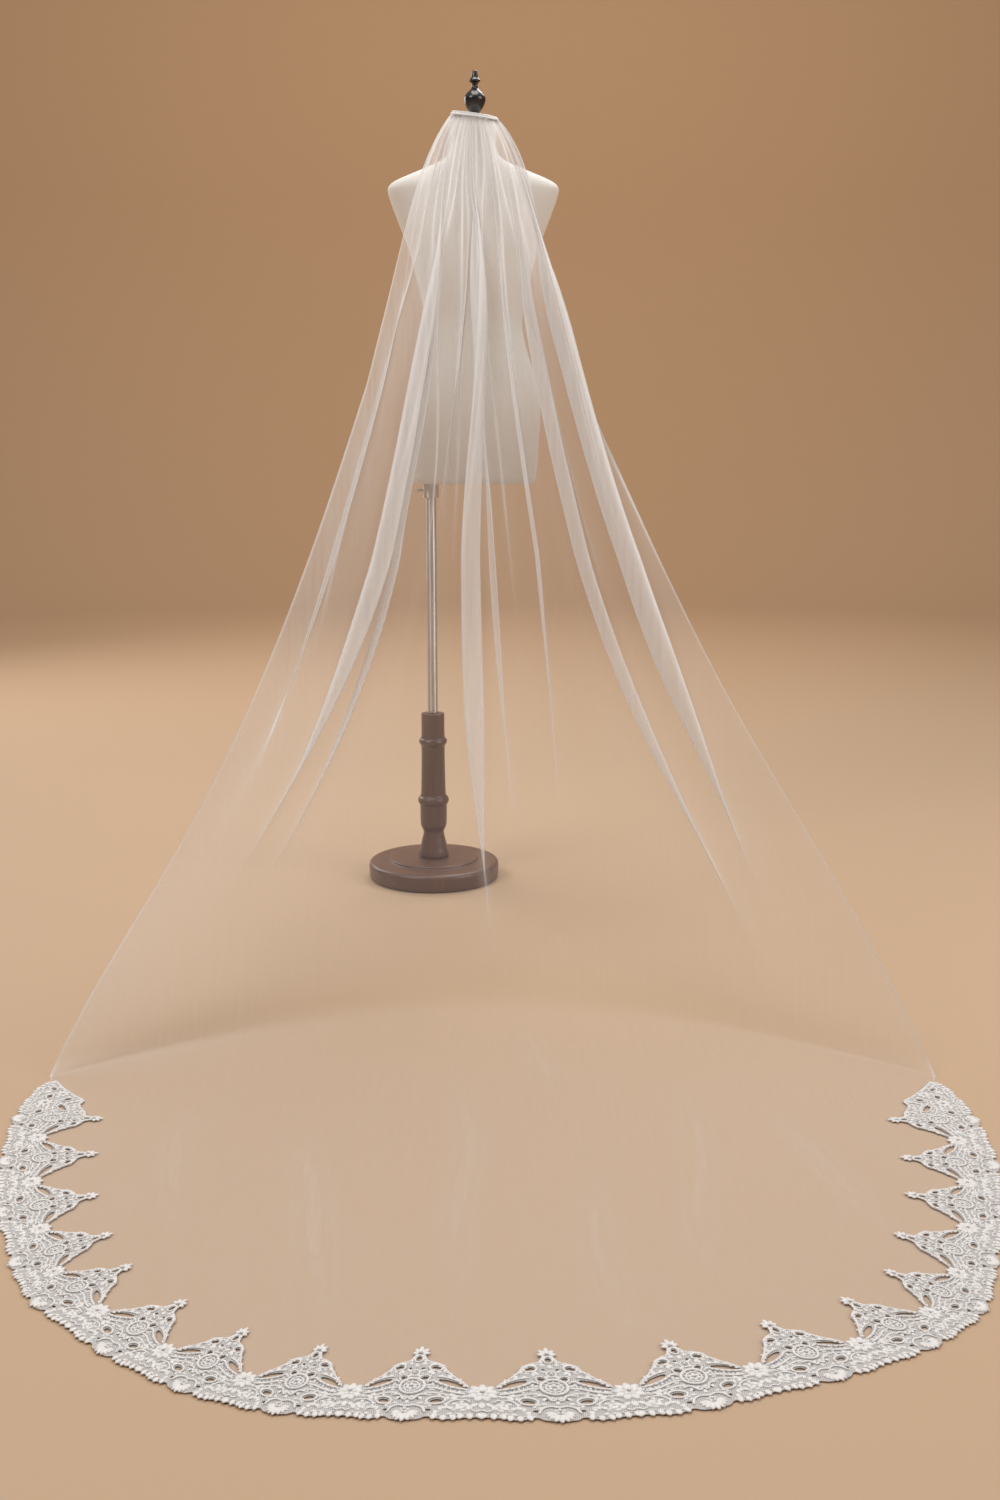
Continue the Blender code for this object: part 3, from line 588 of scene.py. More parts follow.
def net_group():
    """The holes of a net: a mask that is 1 on the threads and 0 in the holes."""
    tree, given, out = node_group("net holes", "Mask", Holes=900.0, Thread=0.12)
    cells = wired(
        tree, "TexVoronoi",
        {"Vector": on_object(tree), "Scale": given.outputs["Holes"], "Randomness": 0.35},
        feature="DISTANCE_TO_EDGE",
    )
    edge = wired(tree, "MapRange", {
        "Value": cells.outputs["Distance"], "From Max": given.outputs["Thread"],
        "To Min": 1.0, "To Max": 0.0,
    })
    tree.links.new(edge.outputs["Result"], out.inputs["Mask"])
    return tree


net = net_group()
TULLE_WHITE = (0.74, 0.72, 0.71, 1)
# TULLE_SHADED is painted shade: the net's colour is darkened towards it where it turns down to the floor.
TULLE_SHADED = (0.20, 0.165, 0.145, 1)
tulle, tree, shader = finish("ivory tulle", Roughness=0.55, Sheen_Weight=0.25, Sheen_Roughness=0.4)
shaded = wired(tree, "Attribute", {}, attribute_name="net_shade")
tinted(tree, shaded.outputs["Fac"], TULLE_WHITE, TULLE_SHADED, shader)
density = wired(tree, "Attribute", {}, attribute_name="net_cover")
holes = use_group(tree, net, Holes=700.0, Thread=0.16)
streaks = use_group(tree, grain_group, Stretch=(120, 10, 3), Contrast=1.5)
cover = wired(tree, "Math", {}, operation="MULTIPLY")
ranged(tree, holes, 0.82, 1.30, cover.inputs[0])
ranged(tree, streaks, 0.80, 1.20, cover.inputs[1])
net_cover = wired(
    tree, "Math", {0: cover.outputs[0], 1: density.outputs["Fac"]}, operation="MULTIPLY",
    use_clamp=True,
)
tree.links.new(net_cover.outputs[0], shader.inputs["Alpha"])

hung, reach, close = fallen_tulle()
laid, share, ridge = lying_tulle(hung[-1])
tulle_points = np.concatenate([hung, laid])
mesh = grid_mesh("tulle_veil", tulle_points)
station = np.concatenate([reach, 1 + share])
side_of = np.linspace(-1, 1, TULLE_COLUMNS + 1)
across = np.abs(side_of)
base = np.interp(station, NET_REACHES, NET_DENSITIES)
towards_edges = np.clip((station - 0.15) / 0.2, 0, 1) * np.clip((1.3 - station) / 0.3, 0, 1)
fullness = np.where(side_of < 0, FULLNESS_LEFT, FULLNESS_RIGHT)
base = base * (1 + towards_edges * (fullness * across ** 2 - THINNER_MIDDLE))
cover_values = base + CREASE_COVER * crease_strength(tulle_points) * np.clip(base / 0.14, 0, 1.5)
cover_values[:len(hung)] += BAND_COVER * close
cover_values[len(hung):] += TRAIN_CREASE_COVER * ridge
cover_values += EDGE_COVER * np.clip((across - EDGE_FROM) / EDGE_RUN, 0, 1)
point_values(mesh, "net_cover", np.clip(cover_values, 0, 0.95))
# A band of painted shade along the landing line, fading towards the side edges, which the material reads as
# net_shade.
landing_shade = LANDING_SHADE * np.exp(-((station - LANDING_SHADE_PLACE) / LANDING_SHADE_REACH) ** 2)
point_values(mesh, "net_shade", landing_shade * (1 - across ** 6))
veil = shown("tulle_veil", mesh, tulle, "tulle", "tulle_fall", "tulle_train")


# Comb and heading: a moulded hair comb of sixteen teeth pushed on at the back of the
# neck, with the gathered edge sewn to its spine under a narrow satin band.
comb_plastic = grained(
    "comb plastic", (90, 90, 90), 1.2, (0.78, 0.77, 0.74, 1), (0.88, 0.87, 0.85, 1),
    Roughness=0.22, Coat_Weight=0.3,
)[0]
cad_nodes["comb"].data.materials.clear()
cad_nodes["comb"].data.materials.append(comb_plastic)

satin, tree, shader, threads = grained(
    "satin band", (900, 900, 60), 1.5, (0.50, 0.49, 0.48, 1), (0.64, 0.63, 0.62, 1),
    Roughness=0.42, Sheen_Weight=0.2,
)
bumped(tree, threads, shader, 0.3, 0.0003)

BAND_HEIGHT = 0.008
BAND_THICKNESS = 0.0014
BAND_STANDS_OFF = 0.00595
BAND_STEPS = 64
STITCH_COUNT = 26
STITCH_RADIUS = 0.00035


def tube(path, radius, sides=6):
    """Points and faces of a round thread along a path."""
    path = np.array(path)
    way = unit(np.gradient(path, axis=0))
    aside = unit(np.cross(way, (0.0, 0.3, 1.0)))
    above = np.cross(aside, way)
    angle = 2 * np.pi * np.arange(sides) / sides
    ring = np.cos(angle)[:, None] * aside[:, None] + np.sin(angle)[:, None] * above[:, None]
    return (path[:, None] + radius * ring).reshape(-1, 3), ring_faces(len(path), sides)


def heading_band():
    """The narrow band over the gathers, its long edges turned in, with a line of stitches."""
    across = np.linspace(-1, 1, BAND_STEPS + 1)
    top = hanging_sheet(across, np.zeros_like(across))
    low = hanging_sheet(across, np.full_like(across, BAND_HEIGHT / HEAD_Z))
    points = []
    section = [
        (0.00, 0.5), (0.03, 0.95), (0.14, 1.0), (0.24, 0.72), (0.5, 0.8), (0.76, 0.72), (0.86, 1.0),
        (0.97, 0.95), (1.00, 0.5), (0.95, 0.05), (0.5, 0.0), (0.05, 0.05),
    ]
    for i in range(BAND_STEPS + 1):
        ruffle = 0.0003 * math.sin(2 * math.pi * i / 6)
        for down, out in section:
            place = top[i] * (1 - down) + low[i] * down
            out = (out - 0.5) * BAND_THICKNESS + ruffle * (out > 0.6)
            points.append(place - np.array((0, BAND_STANDS_OFF + out, 0)))
    faces = [face[::-1] for face in ring_faces(BAND_STEPS + 1, len(section))]
    for i in range(STITCH_COUNT):
        middle = -0.96 + 1.92 * i / (STITCH_COUNT - 1)
        ends = np.array([middle - 0.022, middle, middle + 0.022])
        ends = hanging_sheet(ends, np.full(3, 0.8 * BAND_HEIGHT / HEAD_Z))
        path = ends - np.array([(0, BAND_STANDS_OFF + h * BAND_THICKNESS, 0) for h in (0.4, 0.72, 0.4)])
        more, sides = tube(path, STITCH_RADIUS)
        faces += [tuple(k + len(points) for k in face) for face in sides]
        points += list(more)
    return smooth_mesh("heading_band", points, faces)


band = shown("heading_band", heading_band(), satin, "binding_ribbon", "top_binding")


# Lace edging: corded and beaded embroidery on a close net, eighteen repeats and two corner
# pieces long. It is laid on the tulle's rim and sewn down, its peaks pointing inwards.
LACE_PITCH = 125
PEAK_ANGLES = np.array([
    -90.2, -78.4, -65.4, -54.2, -46.0, -35.1, -25.8, -17.0, -6.8,
    6.1, 18.8, 30.0, 39.9, 47.9, 56.2, 67.0, 77.6, 89.8,
])
END_TURN = 10.4
LACE_UNDERSIDE = 0.0015
NET_THICKNESS = 0.0008
REPEAT_PEAK = [
    (0, 119), (4, 115), (6, 107), (9, 101), (18, 97), (27, 91), (30, 83), (38, 71), (46, 62), (52, 54),
    (62.5, 54),
]
REPEAT_HEM = [(0, -2), (12, -1), (19, 3.5), (32, -1), (48, 2), (62.5, 3.5)]
REPEAT_GAPS = [
    (36, 59, 15, 4.2, -30), (19, 87, 4.6, 3.4, -20), (10, 68, 4.4, 3.0, 55), (24, 29, 5.5, 3.6, 15),
    (0, 104, 2.8, 4.6, 0), (10, 33, 2.6, 2.0, 20), (19, 14, 2.6, 2.0, 0), (7, 86, 2.0, 2.6, 20),
]
CORNER_PEAK = REPEAT_PEAK[:4] + [(26, 98), (52, 84), (72, 86), (90, 67), (116, 40), (141, 16)]
CORNER_HEM = REPEAT_HEM[:4] + [(48, 1), (62, -1), (80, 3), (98, 0), (118, 3), (138, 10)]
CORNER_GAPS = [
    (40, 60, 13, 4.0, -30), (24, 29, 5.5, 3.6, 15), (72, 60, 6.0, 3.6, 50), (80, 30, 7.0, 3.4, -10),
    (108, 26, 5.0, 3.2, -50), (0, 104, 2.8, 4.6, 0),
]
STRETCHES = (("left", 0, 5), ("front", 5, 13), ("right", 13, 18))
LAST_PEAK = len(PEAK_ANGLES) - 1
GROUND_LIFT = 0.7
CORD_FLATNESS = 0.62


def lace_place(along, inward, lift):
    """World places of lace points, from millimetres along its strip, inward and up."""
    numbers = np.arange(len(PEAK_ANGLES))
    place = along / LACE_PITCH
    angle = np.interp(place, numbers, PEAK_ANGLES)
    angle = angle + END_TURN * (np.minimum(place, 0) + np.maximum(place - numbers[-1], 0))
    x, y = floor_place(angle, inward / 1000)
    return np.stack([x, y, LACE_UNDERSIDE + lift / 1000], axis=-1)


def smooth_line(points, spacing=3.0):
    """A smooth line through these points, with about this many millimetres a step."""
    points = np.array(points, dtype=float)
    length = np.sum(np.linalg.norm(np.diff(points, axis=0), axis=1))
    steps = max(4, int(length / spacing))
    return flowing(points, np.linspace(0, len(points) - 1, steps + 1))


def aimed(turn):
    """Cosine and sine of a turn in degrees."""
    return math.cos(math.radians(turn)), math.sin(math.radians(turn))


def oval(x, y, rx, ry=None, turn=0.0, steps=14):
    """Points round an oval."""
    angle = np.linspace(0, 2 * np.pi, steps, endpoint=False)
    u, v = rx * np.cos(angle), (ry or rx) * np.sin(angle)
    c, s = aimed(turn)
    return np.column_stack([x + u * c - v * s, y + u * s + v * c])


class Needlework:
    """Stitched shapes, gathered as points in millimetres and faces, then laid as a mesh."""

    def __init__(self):
        self.points, self.faces, self.count = [], [], 0

    def add(self, points, faces):
        self.points.append(np.asarray(points, dtype=float))
        self.faces += [tuple(i + self.count for i in face) for face in faces]
        self.count += len(points)

    def cord(self, line, radius, lift=0.6, closed=False, sides=6):
        """A round cord couched along a flat line."""
        line = np.asarray(line, dtype=float)
        if closed:
            ahead, behind = np.roll(line, -1, axis=0), np.roll(line, 1, axis=0)
        else:
            ahead, behind = np.vstack([line[1:], line[-1:]]), np.vstack([line[:1], line[:-1]])
        way = unit(ahead - behind + 1e-9)
        aside = np.stack([-way[:, 1], way[:, 0]], axis=-1)
        taper = np.ones(len(line))
        if not closed:
            taper[0] = taper[-1] = 0.35
        ring = []
        for k in range(sides):
            angle = 2 * math.pi * k / sides
            flat = line + aside * (radius * math.cos(angle) * taper)[:, None]
            height = lift + CORD_FLATNESS * radius * (1 + math.sin(angle) * taper)
            ring.append(np.column_stack([flat, height]))
        faces = [face[::-1] for face in ring_faces(len(line), sides, closed)]
        self.add(np.stack(ring, axis=1).reshape(-1, 3), faces)

    def couched(self, points, radius, spacing=3.0, closed=False):
        """A cord along a smooth line through these points."""
        self.cord(smooth_line(points, spacing), radius, closed=closed)

    def petal(self, x, y, length, width, turn, height=1.1, sides=10, lift=GROUND_LIFT):
        """A padded petal or leaf of satin stitch, from its foot outwards along its turn."""
        angle = np.linspace(0, 2 * np.pi, sides, endpoint=False)
        u = 0.5 - 0.5 * np.cos(angle)
        v = np.sin(angle) * (1 - 0.6 * (u - 0.4).clip(0) ** 1.5) / 2
        rings = []
        for scale, rise in ((1.0, 0.0), (0.90, 0.60), (0.50, 0.95)):
            along = length * (0.5 + (u - 0.5) * scale)
            rings.append(np.column_stack([along, width * v * scale, np.full(sides, lift + height * rise)]))
        local = np.vstack(rings + [[[length / 2, 0, lift + height]]])
        c, s = aimed(turn)
        placed_x = x + local[:, 0] * c - local[:, 1] * s
        placed_y = y + local[:, 0] * s + local[:, 1] * c
        faces = ring_faces(3, sides)[:-1]
        faces += [(2 * sides + k, 3 * sides, 2 * sides + (k + 1) % sides) for k in range(sides)]
        self.add(np.column_stack([placed_x, placed_y, local[:, 2]]), faces)

    def rosette(self, x, y, inner, length, width, count, height=1.4, start=0.0):
        """A ring of petals round a middle."""
        for k in range(count):
            turn = start + 360 * k / count
            c, s = aimed(turn)
            self.petal(x + inner * c, y + inner * s, length, width, turn, height)

    def scallops(self, line, step, length, width):
        """Small lobes along an edge, to its left, each as wide as the step between them."""
        line = smooth_line(line, step)
        way = unit(np.diff(line, axis=0))
        for (x, y), (across, up) in zip((line[:-1] + line[1:]) / 2, way):
            turn = math.degrees(math.atan2(across, -up))
            self.petal(x + 1.5 * up, y - 1.5 * across, length, width, turn, 1.0)

    def bead(self, x, y, radius, lift):
        """A small round bead."""
        points = [(x, y, lift - radius)]
        for z in (-0.5, 0.5):
            for k in range(6):
                c, s = aimed(60 * k)
                points.append((x + 0.87 * radius * c, y + 0.87 * radius * s, lift + radius * z))
        points.append((x, y, lift + radius))
        faces = [(0, 1 + (k + 1) % 6, 1 + k) for k in range(6)]
        faces += [(1 + k, 1 + (k + 1) % 6, 7 + (k + 1) % 6, 7 + k) for k in range(6)]
        faces += [(13, 7 + k, 7 + (k + 1) % 6) for k in range(6)]
        self.add(points, faces)

    def strung(self, places, radius, lift):
        """Beads of one size at these places."""
        for x, y in places:
            self.bead(x, y, radius, lift)

    def place(self, others, along, facing=1):
        """Adds another set of shapes at a place along the strip, mirrored if it faces back."""
        points = np.vstack(others.points) * (facing, 1, 1) + (along, 0, 0)
        self.add(points, others.faces if facing > 0 else [face[::-1] for face in others.faces])

    def mesh(self, name):
        return smooth_mesh(name, lace_place(*np.vstack(self.points).T).tolist(), self.faces)


def seeded(petals, peak_line, hem_line, gaps, ends, kept_clear):
    """Fills the bare ground between the drawn motifs with small seed stitches."""
    peak_x, peak_y = np.array(peak_line).T
    hem_x, hem_y = np.array(hem_line).T
    number = 0
    for row in range(21):
        y = 6.2 * row
        for column in range(20):
            number += 1
            x = ends[0] + 3.2 + 7.2 * column + (3.6 if row % 2 else 0)
            inside = np.interp(x, hem_x, hem_y) + 2.5 < y < np.interp(x, peak_x, peak_y) - 3
            if x > ends[1] or not inside:
                continue
            free = True
            for gx, gy, rx, ry, turn in gaps:
                c, s = aimed(turn)
                u, v = (x - gx) * c + (y - gy) * s, (y - gy) * c - (x - gx) * s
                free = free and (u / (rx + 3)) ** 2 + (v / (ry + 3)) ** 2 > 1
            for cx, cy, reach in kept_clear:
                free = free and math.hypot(x - cx, y - cy) > reach
            if free:
                turn = (137.5 * number) % 360
                petals.petal(x - 3, y, 6.4, 3.8, turn % 70 - 35 + (90 if number % 3 == 0 else 0), 0.8, 8)


def hem_leaves(petals, beads, hem, first, step, count):
    """Leaves that hang over the hem's edge, with a bead before each."""
    for k in range(count):
        x = first + step * k
        edge = float(np.interp(x, *np.array(hem, dtype=float).T))
        petals.petal(x, edge + 6.5, 10 - k % 2, 6.4, -90 + 8 * (k % 3 - 1), 1.3)
        beads.bead(x - 3.5, edge + 4, 0.9, 2.0)


def side_of_repeat(cords, petals, beads):
    """One side of a repeat, from its peak to the valley, worked again mirrored."""
    edge = [
        (4, 112), (6.5, 105), (10, 99), (18, 95.5), (26, 89.5), (28.5, 82.5), (37, 70), (45, 61), (50, 54),
    ]
    cords.couched(edge, 1.2)
    petals.scallops(edge[::-1], 6.0, 5.4, 5.6)
    cords.couched(oval(19, 87, 6.8, 5.6, -20), 1.3, closed=True)
    for radius, *line in (
        (1.2, (21, 71), (29, 69.5), (38.6, 64.5), (46, 58), (50.5, 52)),
        (1.7, (13, 60), (18, 63), (24, 58.5), (32.5, 53), (41, 49.5), (50, 47)),
        (1.5, (13, 51), (22, 50), (31, 45.5), (40, 42), (49, 40)),
        (1.2, (14, 43), (26, 41), (36, 37), (48, 34)),
    ):
        cords.couched(line, radius)
    for k in range(8):
        x = 19 + 3.9 * k
        top = float(np.interp(x, [18, 24, 32.5, 41, 50], [61, 58.5, 53, 49.5, 47]))
        bottom = float(np.interp(x, [13, 22, 31, 40, 49], [52, 50, 45.5, 42, 40]))
        cords.cord([(x, bottom), (x + 0.4, (top + bottom) / 2), (x + 0.8, top)], 0.8, sides=5)
    cords.couched(oval(10, 68, 6.4, 4.8, 55), 1.1, closed=True)
    cords.couched(oval(24, 29, 8.2, 6.0, 15), 1.4, closed=True)
    cords.couched([(53, 28), (46, 31), (38, 29), (33, 22), (36, 15), (42, 14)], 1.2)
    for leaf in (
        (12, 93, 8, 4.5, 20), (5, 92, 7, 4, 60), (12, 76, 11, 5.5, 60), (4, 80, 8, 4, 40),
        (33, 68, 7, 4, 60), (40, 62, 7, 4, 60), (36, 31, 10, 6, 50), (44, 24, 10, 6, -20),
        (40, 16, 10, 6, 20), (28, 17, 9, 5.5, 10), (33, 37, 8, 5, 20), (14, 24, 8, 5, 0),
        (50, 14, 9, 6, 60),
    ):
        petals.petal(*leaf)
    hem_leaves(petals, beads, REPEAT_HEM, 25, 7.0, 6)
    seeded(
        petals, REPEAT_PEAK, REPEAT_HEM, REPEAT_GAPS, (1, 50),
        [(0, 54, 15), (62.5, 42, 15), (0, 6, 17), (0, 113, 9)],
    )
    beads.strung(smooth_line([(30, 77), (38, 67.5), (46, 58.5)], 3.6), 0.9, 1.9)
    beads.strung(smooth_line([(14, 58), (18, 61), (24, 57), (32, 52), (41, 48), (50, 45.5)], 5.0), 0.9, 3.0)
    spots = [(12, 97), (27, 88), (24, 36.5), (32, 27), (44, 36), (52, 26), (16, 70), (8, 74), (17, 40)]
    beads.strung(spots, 1.1, 2.2)


def middle_of_repeat(cords, petals, beads):
    """What lies on a repeat's middle line: crown, rosette with its lattice, and hem fan."""
    for turn, length in ((90, 12.5), (48, 10), (132, 10), (5, 8.5), (175, 8.5)):
        c, s = aimed(turn)
        petals.petal(1.5 * c, 114 + 1.5 * s, length, 6, turn, 1.5)
    beads.bead(0, 114.5, 1.7, 2.6)
    cords.couched(oval(0, 104, 4.6, 6.6), 1.1, closed=True)
    petals.petal(0, 88, 8, 5.5, 90)
    cords.couched(oval(0, 78, 4.5, 5.5), 1.0, closed=True)
    beads.bead(0, 78, 1.6, 2.0)
    cords.couched(oval(0, 54, 12, 13), 1.7, 3.5, closed=True)
    cords.couched(oval(0, 54, 7.5, 8.5), 1.0, 3.0, closed=True)
    petals.rosette(0, 54, 1.5, 5.5, 4.2, 6, 1.4, 30)
    beads.bead(0, 54, 1.5, 2.6)
    for k in range(12):
        c, s = aimed(30 * k)
        cords.cord([(7.5 * c, 54 + 8.5 * s), (9.8 * c, 54 + 10.8 * s), (12 * c, 54 + 13 * s)], 0.8, sides=5)
    cords.couched([(-17, 38), (-9, 39), (-4, 30), (0, 34), (4, 30), (9, 39), (17, 38)], 1.4)
    for turn in range(190, 351, 20):
        c, s = aimed(turn)
        petals.petal(3 * c, 11 + 3 * s, 14 - abs(turn - 270) / 20, 5.8, turn, 1.6)
    cords.couched([(-17, 8), (-14, 17), (-7, 21), (0, 19), (7, 21), (14, 17), (17, 8)], 1.4)
    petals.rosette(0, 12, 0.5, 5, 4, 5, 2.2, 90)
    beads.bead(0, 12, 1.7, 3.2)


def valley_of_repeat(cords, petals, beads):
    """The double rosette between two repeats."""
    petals.rosette(0, 43, 3, 12.5, 8.5, 9, 1.7, 90)
    petals.rosette(0, 43, 1, 8, 5.4, 6, 2.5, 60)
    beads.bead(0, 43, 1.8, 3.6)
    petals.petal(0, 27, 11, 7, -90, 1.4)
    petals.petal(3, 25, 9, 5, -40)
    petals.petal(-3, 25, 9, 5, -140)
    cords.couched([(-9, 15), (-5, 11), (0, 14), (5, 11), (9, 15)], 1.2)
    petals.petal(0, 9.5, 10, 6.4, -90, 1.3)
    for x in (-3.5, 3.5):
        beads.bead(x, 7, 0.9, 2.0)


def corner_piece(cords, petals, beads):
    """The pointed corner piece, beyond the last repeat's middle."""
    edge = [
        (4, 112), (7, 105), (12, 99.5), (26, 96), (51, 82.5), (71, 84), (88, 65.5), (114, 38.5), (137, 17),
    ]
    cords.couched(edge, 1.3)
    petals.scallops(edge[::-1], 6.0, 5.4, 5.6)
    for radius, *line in (
        (1.3, (20, 13), (40, 11), (62, 12), (78, 11), (92, 13), (108, 11), (124, 15)),
        (1.6, (14, 56), (26, 50), (40, 46), (56, 48), (64, 46)),
        (1.4, (14, 74), (26, 73), (40, 70), (54, 63), (62, 72), (66, 80)),
    ):
        cords.couched(line, radius)
    for x, y, rx, ry, turn in CORNER_GAPS[:5]:
        cords.couched(oval(x, y, rx + 2.6, ry + 2.2, turn), 1.3, closed=True)
    petals.rosette(58, 30, 2.5, 10, 6.5, 8)
    petals.rosette(92, 46, 2.0, 9, 6, 7)
    petals.rosette(22, 86, 2.0, 7, 5, 6)
    beads.strung(((58, 30), (92, 46), (22, 86)), 1.8, 2.6)
    for leaf in (
        (40, 76, 12, 6, 10), (66, 74, 11, 6, 40), (110, 40, 12, 6, -40), (118, 20, 11, 6, -10),
        (94, 20, 11, 6, 20), (36, 36, 12, 6, 15), (40, 20, 12, 6, 30), (128, 16, 12, 5, -5),
    ):
        petals.petal(*leaf)
    hem_leaves(petals, beads, CORNER_HEM, 24, 7.2, 16)
    seeded(
        petals, CORNER_PEAK, CORNER_HEM, CORNER_GAPS, (1, 134),
        [(0, 54, 15), (0, 6, 17), (0, 113, 9), (58, 30, 12), (92, 46, 11), (22, 86, 9)],
    )
    beads.strung(smooth_line([(20, 92), (50, 79), (70, 80), (85, 63), (111, 36), (132, 17)], 4.2), 0.9, 1.9)


def at_corner(repeat, side):
    """Whether this side of a repeat is an end of the strip, where a corner piece goes."""
    return (repeat == 0 and side < 0) or (repeat == LAST_PEAK and side > 0)


def lace_net_mesh(name, first, last):
    """The close net that the embroidery is worked on, with its larger gaps cut out."""
    peaks, hem, loops = [], [], []
    for i in range(first, last):
        for side in (-1, 1):
            top, bottom, gaps = REPEAT_PEAK, REPEAT_HEM, REPEAT_GAPS
            if at_corner(i, side):
                top, bottom, gaps = CORNER_PEAK, CORNER_HEM, CORNER_GAPS
            for line, half in ((peaks, np.array(top, dtype=float)), (hem, smooth_line(bottom, 4.0))):
                laid = half * (side, 1) + (i * LACE_PITCH, 0)
                line.append(laid[::-1] if side < 0 else laid[1:])
            loops += [
                oval(i * LACE_PITCH + side * x, y, rx, ry, side * turn, 16)
                for x, y, rx, ry, turn in gaps if x or side > 0
            ]
    curve = bpy.data.curves.new(name, "CURVE")
    curve.dimensions = "2D"
    curve.fill_mode = "BOTH"
    curve.extrude = NET_THICKNESS / 2
    for loop in [np.vstack([np.vstack(peaks), np.vstack(hem)[::-1]])] + loops:
        spline = curve.splines.new("POLY")
        spline.points.add(len(loop) - 1)
        for point, (x, y, z) in zip(spline.points, lace_place(loop[:, 0], loop[:, 1], np.zeros(len(loop)))):
            point.co = (x, y, 0, 1)
        spline.use_cyclic_u = True
    holder = placed(name, curve)
    mesh = bpy.data.meshes.new_from_object(holder.evaluated_get(bpy.context.evaluated_depsgraph_get()))
    bpy.data.objects.remove(holder)
    bpy.data.curves.remove(curve)
    welded = bmesh.new()
    welded.from_mesh(mesh)
    bmesh.ops.remove_doubles(welded, verts=welded.verts, dist=0.00002)
    bmesh.ops.translate(welded, verts=welded.verts, vec=(0, 0, LACE_UNDERSIDE + NET_THICKNESS / 2))
    welded.to_mesh(mesh)
    welded.free()
    mesh.materials.clear()
    mesh.name = name
    return mesh


THREAD_LIGHT = (0.80, 0.79, 0.785, 1)
THREAD_DARK = (0.60, 0.585, 0.58, 1)
GROUND_LIGHT = (0.66, 0.645, 0.64, 1)
GROUND_PAINTED_HOLE_SHADE = (0.38, 0.36, 0.35, 1)
# The net's holes take the dark ground colour at part alpha: painted shade seen through the holes. The
# threads take the light one.
ground_net, tree, shader = finish("embroidery net", Roughness=0.8)
ground_holes = use_group(tree, net, Holes=480.0, Thread=0.42)
tinted(tree, ground_holes, GROUND_PAINTED_HOLE_SHADE, GROUND_LIGHT, shader)
ranged(tree, ground_holes, 0.45, 0.95, shader.inputs["Alpha"])
bumped(tree, ground_holes, shader, 0.5, 0.0004)
cord_thread, tree, shader, ply = grained(
    "cord thread", (700, 700, 700), 1.6, THREAD_DARK, THREAD_LIGHT, Roughness=0.5, Sheen_Weight=0.2
)
bumped(tree, ply, shader, 0.4, 0.0003)
satin_stitch, tree, shader, floss = grained(
    "satin stitch", (500, 90, 90), 1.8, THREAD_DARK, THREAD_LIGHT, Roughness=0.45, Sheen_Weight=0.2
)
bumped(tree, floss, shader, 0.5, 0.0004)
pearl = grained(
    "pearl bead", (200, 200, 200), 1.4, (0.72, 0.70, 0.70, 1), (0.90, 0.89, 0.88, 1),
    Roughness=0.12, Coat_Weight=0.8, Coat_Roughness=0.05,
)[0]

STITCHES = (("cords", cord_thread), ("petals", satin_stitch), ("beads", pearl))
motifs = {}
for motif in (side_of_repeat, middle_of_repeat, valley_of_repeat, corner_piece):
    motifs[motif] = [Needlework() for _ in STITCHES]
    motif(*motifs[motif])
for side, first, last in STRETCHES:
    node = "lace_" + side
    name = "lace_net_" + side
    net_piece = shown(name, lace_net_mesh(name, first, last), ground_net, "lace", node)
    for k, (kind, thread) in enumerate(STITCHES):
        work = Needlework()
        for i in range(first, last):
            work.place(motifs[middle_of_repeat][k], i * LACE_PITCH)
            for facing in (-1, 1):
                motif = corner_piece if at_corner(i, facing) else side_of_repeat
                work.place(motifs[motif][k], i * LACE_PITCH, facing)
            if i < LAST_PEAK:
                work.place(motifs[valley_of_repeat][k], (i + 0.5) * LACE_PITCH)
        name = "lace_" + kind + "_" + side
        shown(name, work.mesh(name), thread, "lace", node)


# Floor and backdrop of the studio: one round sweep of plain pale paper, seamless on all sides.
FLOOR_TONE = (0.48, 0.338, 0.222, 1)
STUDIO_MIDDLE = (0.14, -0.93)
SWEEP_RADIUS = 9.0
SWEEP_BEND = 2.5
SWEEP_HEIGHT = 6.5
SWEEP_SIDES = 96
BEND_STEPS = 14


def studio_sweep():
    profile = [(0.5, 0.0), (SWEEP_RADIUS - SWEEP_BEND, 0.0)]
    for k in range(1, BEND_STEPS + 1):
        angle = math.pi / 2 * k / BEND_STEPS
        away = SWEEP_RADIUS - SWEEP_BEND * (1 - math.sin(angle))
        profile.append((away, SWEEP_BEND * (1 - math.cos(angle))))
    profile.append((SWEEP_RADIUS, SWEEP_HEIGHT))
    angle = 2 * np.pi * np.arange(SWEEP_SIDES) / SWEEP_SIDES
    points = [
        (STUDIO_MIDDLE[0] + r * c, STUDIO_MIDDLE[1] + r * s, z)
        for r, z in profile for c, s in zip(np.cos(angle), np.sin(angle))
    ]
    return smooth_mesh("studio_sweep", points, ring_faces(len(profile), SWEEP_SIDES)[:-1])


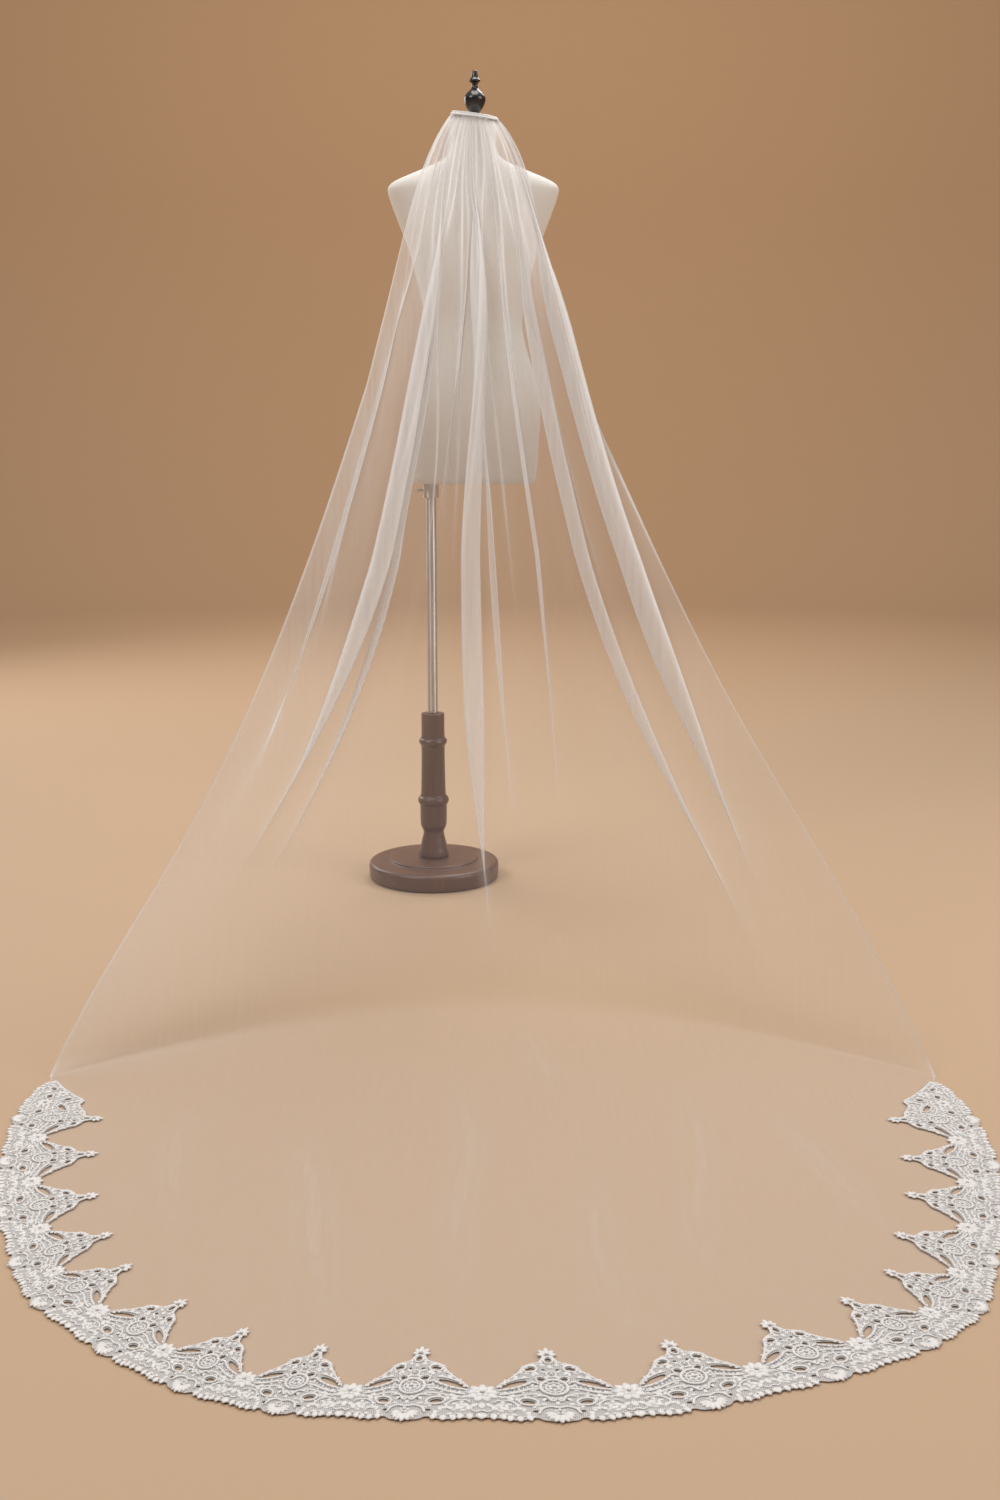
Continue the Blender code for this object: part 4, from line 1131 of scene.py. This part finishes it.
paper, tree, shader = finish("studio paper", Base_Color=FLOOR_TONE, Roughness=0.9)
sweep = placed("studio_sweep", studio_sweep())
sweep.data.materials.append(paper)


# Studio lights: a large soft key from the upper left, a fill from the right and a top
# light, all wide so that shadows stay soft, over a dim even surround. A low light from
# behind fills the net's inner side, and the wall light, which faces away from the veil,
# brightens the sweep that shows through it.
def soft_light(name, place, aim, size, power, tone=(1, 0.985, 0.965)):
    lamp = bpy.data.lights.new(name, "AREA")
    lamp.shape = "SQUARE"
    lamp.size = size
    lamp.energy = power
    lamp.color = tone
    holder = placed(name, lamp)
    holder.visible_camera = False
    holder.location = place
    way = np.array(aim) - np.array(place)
    flat = math.hypot(way[0], way[1])
    holder.rotation_euler = (math.atan2(flat, -way[2]), 0, math.atan2(way[1], way[0]) - math.pi / 2)


soft_light("key_light", (-3.2, -3.4, 4.2), (0.1, -0.7, 0.5), 2.4, 108)
soft_light("fill_light", (4.0, -2.2, 2.6), (0.1, -0.6, 0.8), 2.6, 85)
soft_light("top_light", (0.1, -0.2, 5.0), (0.1, -0.6, 0.0), 2.4, 100)
soft_light("back_light", (0.8, 1.9, 3.6), (0.1, -0.3, 1.0), 1.6, 40)
soft_light("low_back_light", (-2.6, 2.4, 2.2), (0.1, -0.6, 0.6), 2.0, 46)
soft_light("wall_light", (0.2, 3.4, 4.4), (0.2, 8.0, 2.2), 3.0, 120, (1, 0.80, 0.60))
surround = bpy.data.worlds.new("studio surround")
surround.use_nodes = True
backing = surround.node_tree.nodes["Background"]
backing.inputs["Color"].default_value = (1.0, 0.96, 0.92, 1)
backing.inputs["Strength"].default_value = 0.35
bpy.context.scene.world = surround
bpy.context.scene.view_settings.view_transform = "Standard"
bpy.context.scene.cycles.transparent_max_bounces = 24


# Camera: eye height, looking a little down at the veil from beyond its train.
lens = bpy.data.cameras.new("photo_view")
lens.lens = 38.4
lens.sensor_width = 36
camera = placed("photo_view", lens)
camera.location = (0.146, -3.425, 0.969)
camera.rotation_euler = (math.radians(78.7), 0, 0)
bpy.context.scene.camera = camera

bpy.context.view_layer.update()
